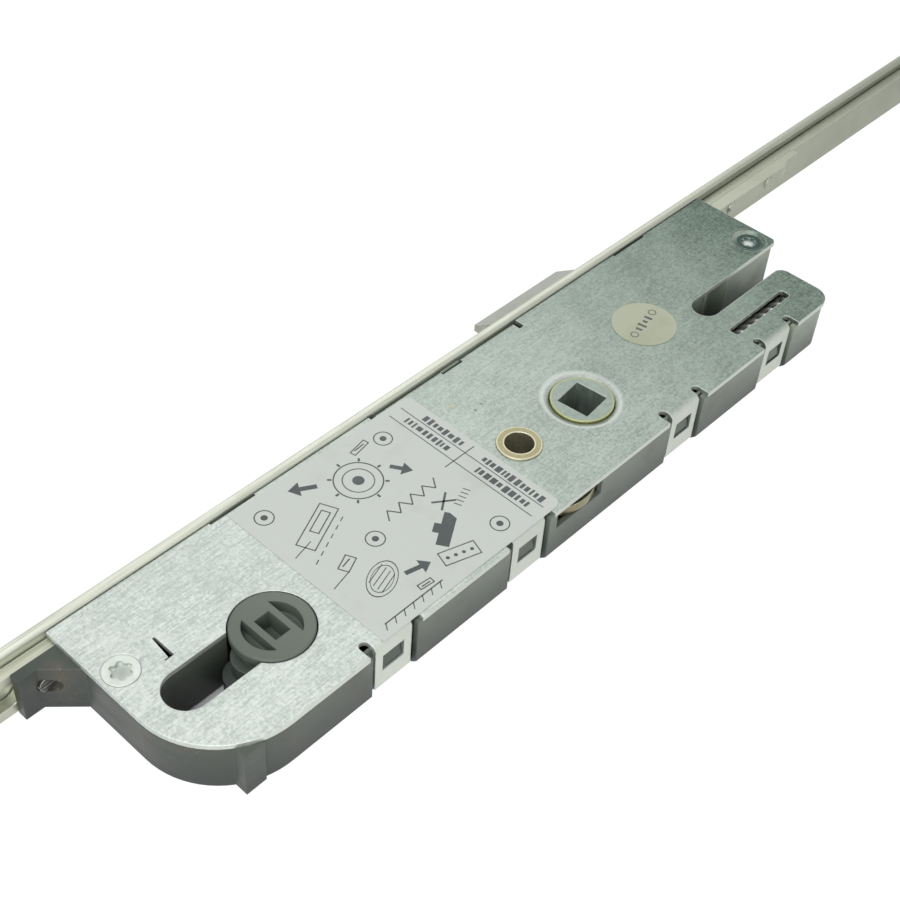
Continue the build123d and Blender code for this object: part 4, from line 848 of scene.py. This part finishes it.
print("dressed", len(nodes) - len(left_bare), "left bare:", left_bare)

# %% [markdown]
# ## Print on the label
#
# The label carries a plain working drawing: rings, arrows, bars and dashes, in dark grey, and
# the round sticker two rings and a row of blocks. A print this small blurs as an image, so
# each motif is a very thin closed plate on the paper.

# %% Tools to draw with
# heights and places are in millimetres, seen from above the cover with the spindle at (0, 0)
INK_LOW, INK_HIGH = 7.31, 7.335
ink_points, ink_faces = [], []


def plate(outer, inner=None):
    """A closed plate with the outline of the points, or the band between two outlines of as
    many points. Top and bottom are the same outline at two heights, walls join them."""
    loops = [np.asarray(outer, float)] + ([] if inner is None else [np.asarray(inner, float)])
    count, base = len(loops[0]), len(ink_points)
    for height in (INK_LOW, INK_HIGH):
        for loop in loops:
            ink_points.extend((x, y, height) for x, y in loop.tolist())
    low = [list(range(base + k * count, base + (k + 1) * count)) for k in range(2 * len(loops))]

    def wall(a, b):
        return [(a[i], a[(i + 1) % count], b[(i + 1) % count], b[i]) for i in range(count)]

    if inner is None:
        ink_faces.extend([tuple(low[1]), tuple(low[0][::-1])] + wall(low[0], low[1]))
    else:
        ink_faces.extend(wall(low[2], low[3]) + wall(low[1], low[0]) + wall(low[0], low[2])
                         + wall(low[3], low[1]))


def turned(points, x, y, degrees):
    """The points turned about the origin and moved to (x, y)."""
    c, s = math.cos(math.radians(degrees)), math.sin(math.radians(degrees))
    return np.asarray(points, float) @ np.array([[c, s], [-s, c]]) + (x, y)


def stroke(x0, y0, x1, y1, width=0.28):
    """A straight line of some width."""
    along, half = math.hypot(x1 - x0, y1 - y0), width / 2
    turn = math.degrees(math.atan2(y1 - y0, x1 - x0))
    plate(turned([(0, -half), (along, -half), (along, half), (0, half)], x0, y0, turn))


def spoke(x, y, near, far, degrees, width=0.5):
    """A stroke on a ray from (x, y), between two distances from it."""
    c, s = math.cos(math.radians(degrees)), math.sin(math.radians(degrees))
    stroke(x + near * c, y + near * s, x + far * c, y + far * s, width)


def hatch(count, x0, y0, x1, y1, right, up, width):
    """The same stroke several times, each moved on by (right, up)."""
    for step in range(count):
        stroke(x0 + right * step, y0 + up * step, x1 + right * step, y1 + up * step, width)


def circle(count, squash=1.0):
    """Points round a unit circle, or an oval when squashed."""
    angle = np.arange(count) * 2 * np.pi / count
    return np.stack([np.cos(angle), squash * np.sin(angle)], 1)


def ring(x, y, radius, width=0.28, count=40, squash=1.0, degrees=0.0):
    """A circle line, or an oval one when squashed."""
    unit = circle(count, squash)
    plate(turned(unit * radius, x, y, degrees), turned(unit * (radius - width), x, y, degrees))


def disc(x, y, radius, count=24):
    """A filled circle."""
    plate(turned(circle(count) * radius, x, y, 0))


def arrow(x, y, length, degrees, width=1.1):
    """A block arrow that ends at (x, y)."""
    head = 2.1 * width
    plate(turned([(0, 0), (-head, head * 0.8), (-head, width / 2), (-length, width / 2),
                  (-length, -width / 2), (-head, -width / 2), (-head, -head * 0.8)], x, y, degrees))


def frame_box(x, y, wide, high, degrees, width=0.26):
    """A rectangle drawn as a line."""
    def box(a, b):
        return turned([(-a, -b), (a, -b), (a, b), (-a, b)], x, y, degrees)

    plate(box(wide / 2, high / 2), box(wide / 2 - width, high / 2 - width))


print("tools: plate, stroke, spoke, hatch, ring, disc, arrow, frame_box")

# %% Label: header
# two ruled columns across the label, a cross line, rows of blocks
for x in (-31.4, -35.0):
    stroke(x, -15.6, x, 25.6, 0.22)
stroke(-37.6, 6.4, -28.6, 6.4, 0.26)
rng = np.random.default_rng(7)
# column, first and last place of each row of blocks
HEADER_ROWS = ((-29.9, -14.4, 4.2), (-29.9, 8.6, 22.0), (-33.2, -13.0, 3.4), (-33.2, 9.6, 24.0))
for x, y, high in HEADER_ROWS:
    while y < high - 1.6:
        step = float(rng.uniform(0.5, 1.5))
        half = float(rng.uniform(1.2, 2.0)) / 2
        plate([(x - half, y), (x + half, y), (x + half, y + step), (x - half, y + step)])
        y += step + float(rng.uniform(0.35, 0.6))
print("header:", len(ink_faces), "faces")

# %% Label: field
# a toothed knob, arrows, a tilted box, a zigzag, hatching, ovals, dots and small frames
KNOB = (-53.5, 16.2)
for x, y in ((-41.0, 21.5), (-74.6, 21.8), (-62.4, 2.2), (-41.2, -12.4)):
    ring(x, y, 2.15, 0.26)
    disc(x, y, 0.75)
ring(*KNOB, 5.4, 0.3)
ring(*KNOB, 3.5, 0.24)
for turn in range(0, 360, 45):
    spoke(*KNOB, 5.6, 6.5, turn)
disc(*KNOB, 1.3)
arrow(-43.2, 10.4, 5.0, -58)
arrow(-66.2, 24.0, 6.2, 150, 1.2)
frame_box(-68.5, 12.6, 12.5, 4.4, 24)
frame_box(-67.2, 13.2, 6.4, 2.2, 24)
hatch(6, -75.6, 5.4, -74.4, 5.95, 2.3, 1.02, 0.24)
for step in range(9):
    x = -57.0 + 1.7 * step
    stroke(x, 3.6 + (2.4 if step % 2 else 0), x + 1.7, 3.6 + (0 if step % 2 else 2.4), 0.3)
for x, y, turn, wide, high in ((-46.6, 23.0, 10, 5.0, 1.6), (-71.0, 1.4, 24, 4.2, 2.6),
                               (-63.6, -13.0, -6, 3.6, 1.5)):
    frame_box(x, y, wide, high, turn)
    stroke(x - 0.3 * wide, y, x + 0.3 * wide, y + 0.1 * turn / wide, 0.3)
hatch(5, -43.8, -2.0, -43.2, -3.6, 1.1, 0.4, 0.24)
plate(turned([(-4.6, -1.4), (3.4, -1.4), (4.6, 0.2), (4.6, 1.4), (1.2, 1.4), (1.2, 2.8),
              (-1.4, 2.8), (-1.4, 1.4), (-4.6, 1.4)], -50.2, -6.0, 32))
ring(-68.8, -6.2, 4.9, 0.28, squash=0.62, degrees=28)
ring(-68.8, -6.2, 3.7, 0.22, squash=0.62, degrees=28)
for low in (-1.8, -0.6, 0.6, 1.8):
    stroke(-71.4, -6.9 + low, -66.2, -5.3 + low, 0.2)
arrow(-58.8, -9.8, 6.0, -14)
frame_box(-53.0, -12.2, 8.4, 3.8, -18)
for step in range(4):
    disc(-55.6 + 1.75 * step, -11.4 - 0.57 * step, 0.42, 16)
stroke(-76.5, -14.6, -60.5, -14.6, 0.3)
hatch(7, -76.2, -14.6, -77.2, -16.0, 2.5, 0, 0.22)
for turn in (35, 145):
    spoke(-45.0, -0.2, -2.6, 2.6, turn)
for y in (-1.6, 9.4):
    stroke(-77.4, y, -72.2, y + 1.2, 0.22)
print("header and field:", len(ink_faces), "faces")

# %% Sticker, and the mesh of the print
# a short row of blocks between two rings
for step, tall in enumerate((1.6, 2.3, 1.2, 2.0)):
    plate(turned([(-0.35, -tall / 2), (0.35, -tall / 2), (0.35, tall / 2), (-0.35, tall / 2)],
                 28.3 + 1.6 * step, 6.2 + 0.35 * step, 12))
for x, y in ((26.0, 5.7), (35.4, 7.9)):
    ring(x, y, 1.0, 0.24, 28)
ink_mesh = bpy.data.meshes.new("label_print")
ink_mesh.from_pydata((np.array(ink_points) * MM).tolist(), [], ink_faces)
ink_mesh.materials.append(ink)
label_print = bpy.data.objects.new("label_print", ink_mesh)
scene.collection.objects.link(label_print)
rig.ride(label_print, "case")
print("print plates:", len(ink_faces), "faces")

# %% Write the sizes and finish
with open("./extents.json", "w") as size_file:
    json.dump({"cad": [list(map(float, c)) for c in cad_box],
               "visual": [list(map(float, c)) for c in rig.bounds()]}, size_file)
print(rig.finish())
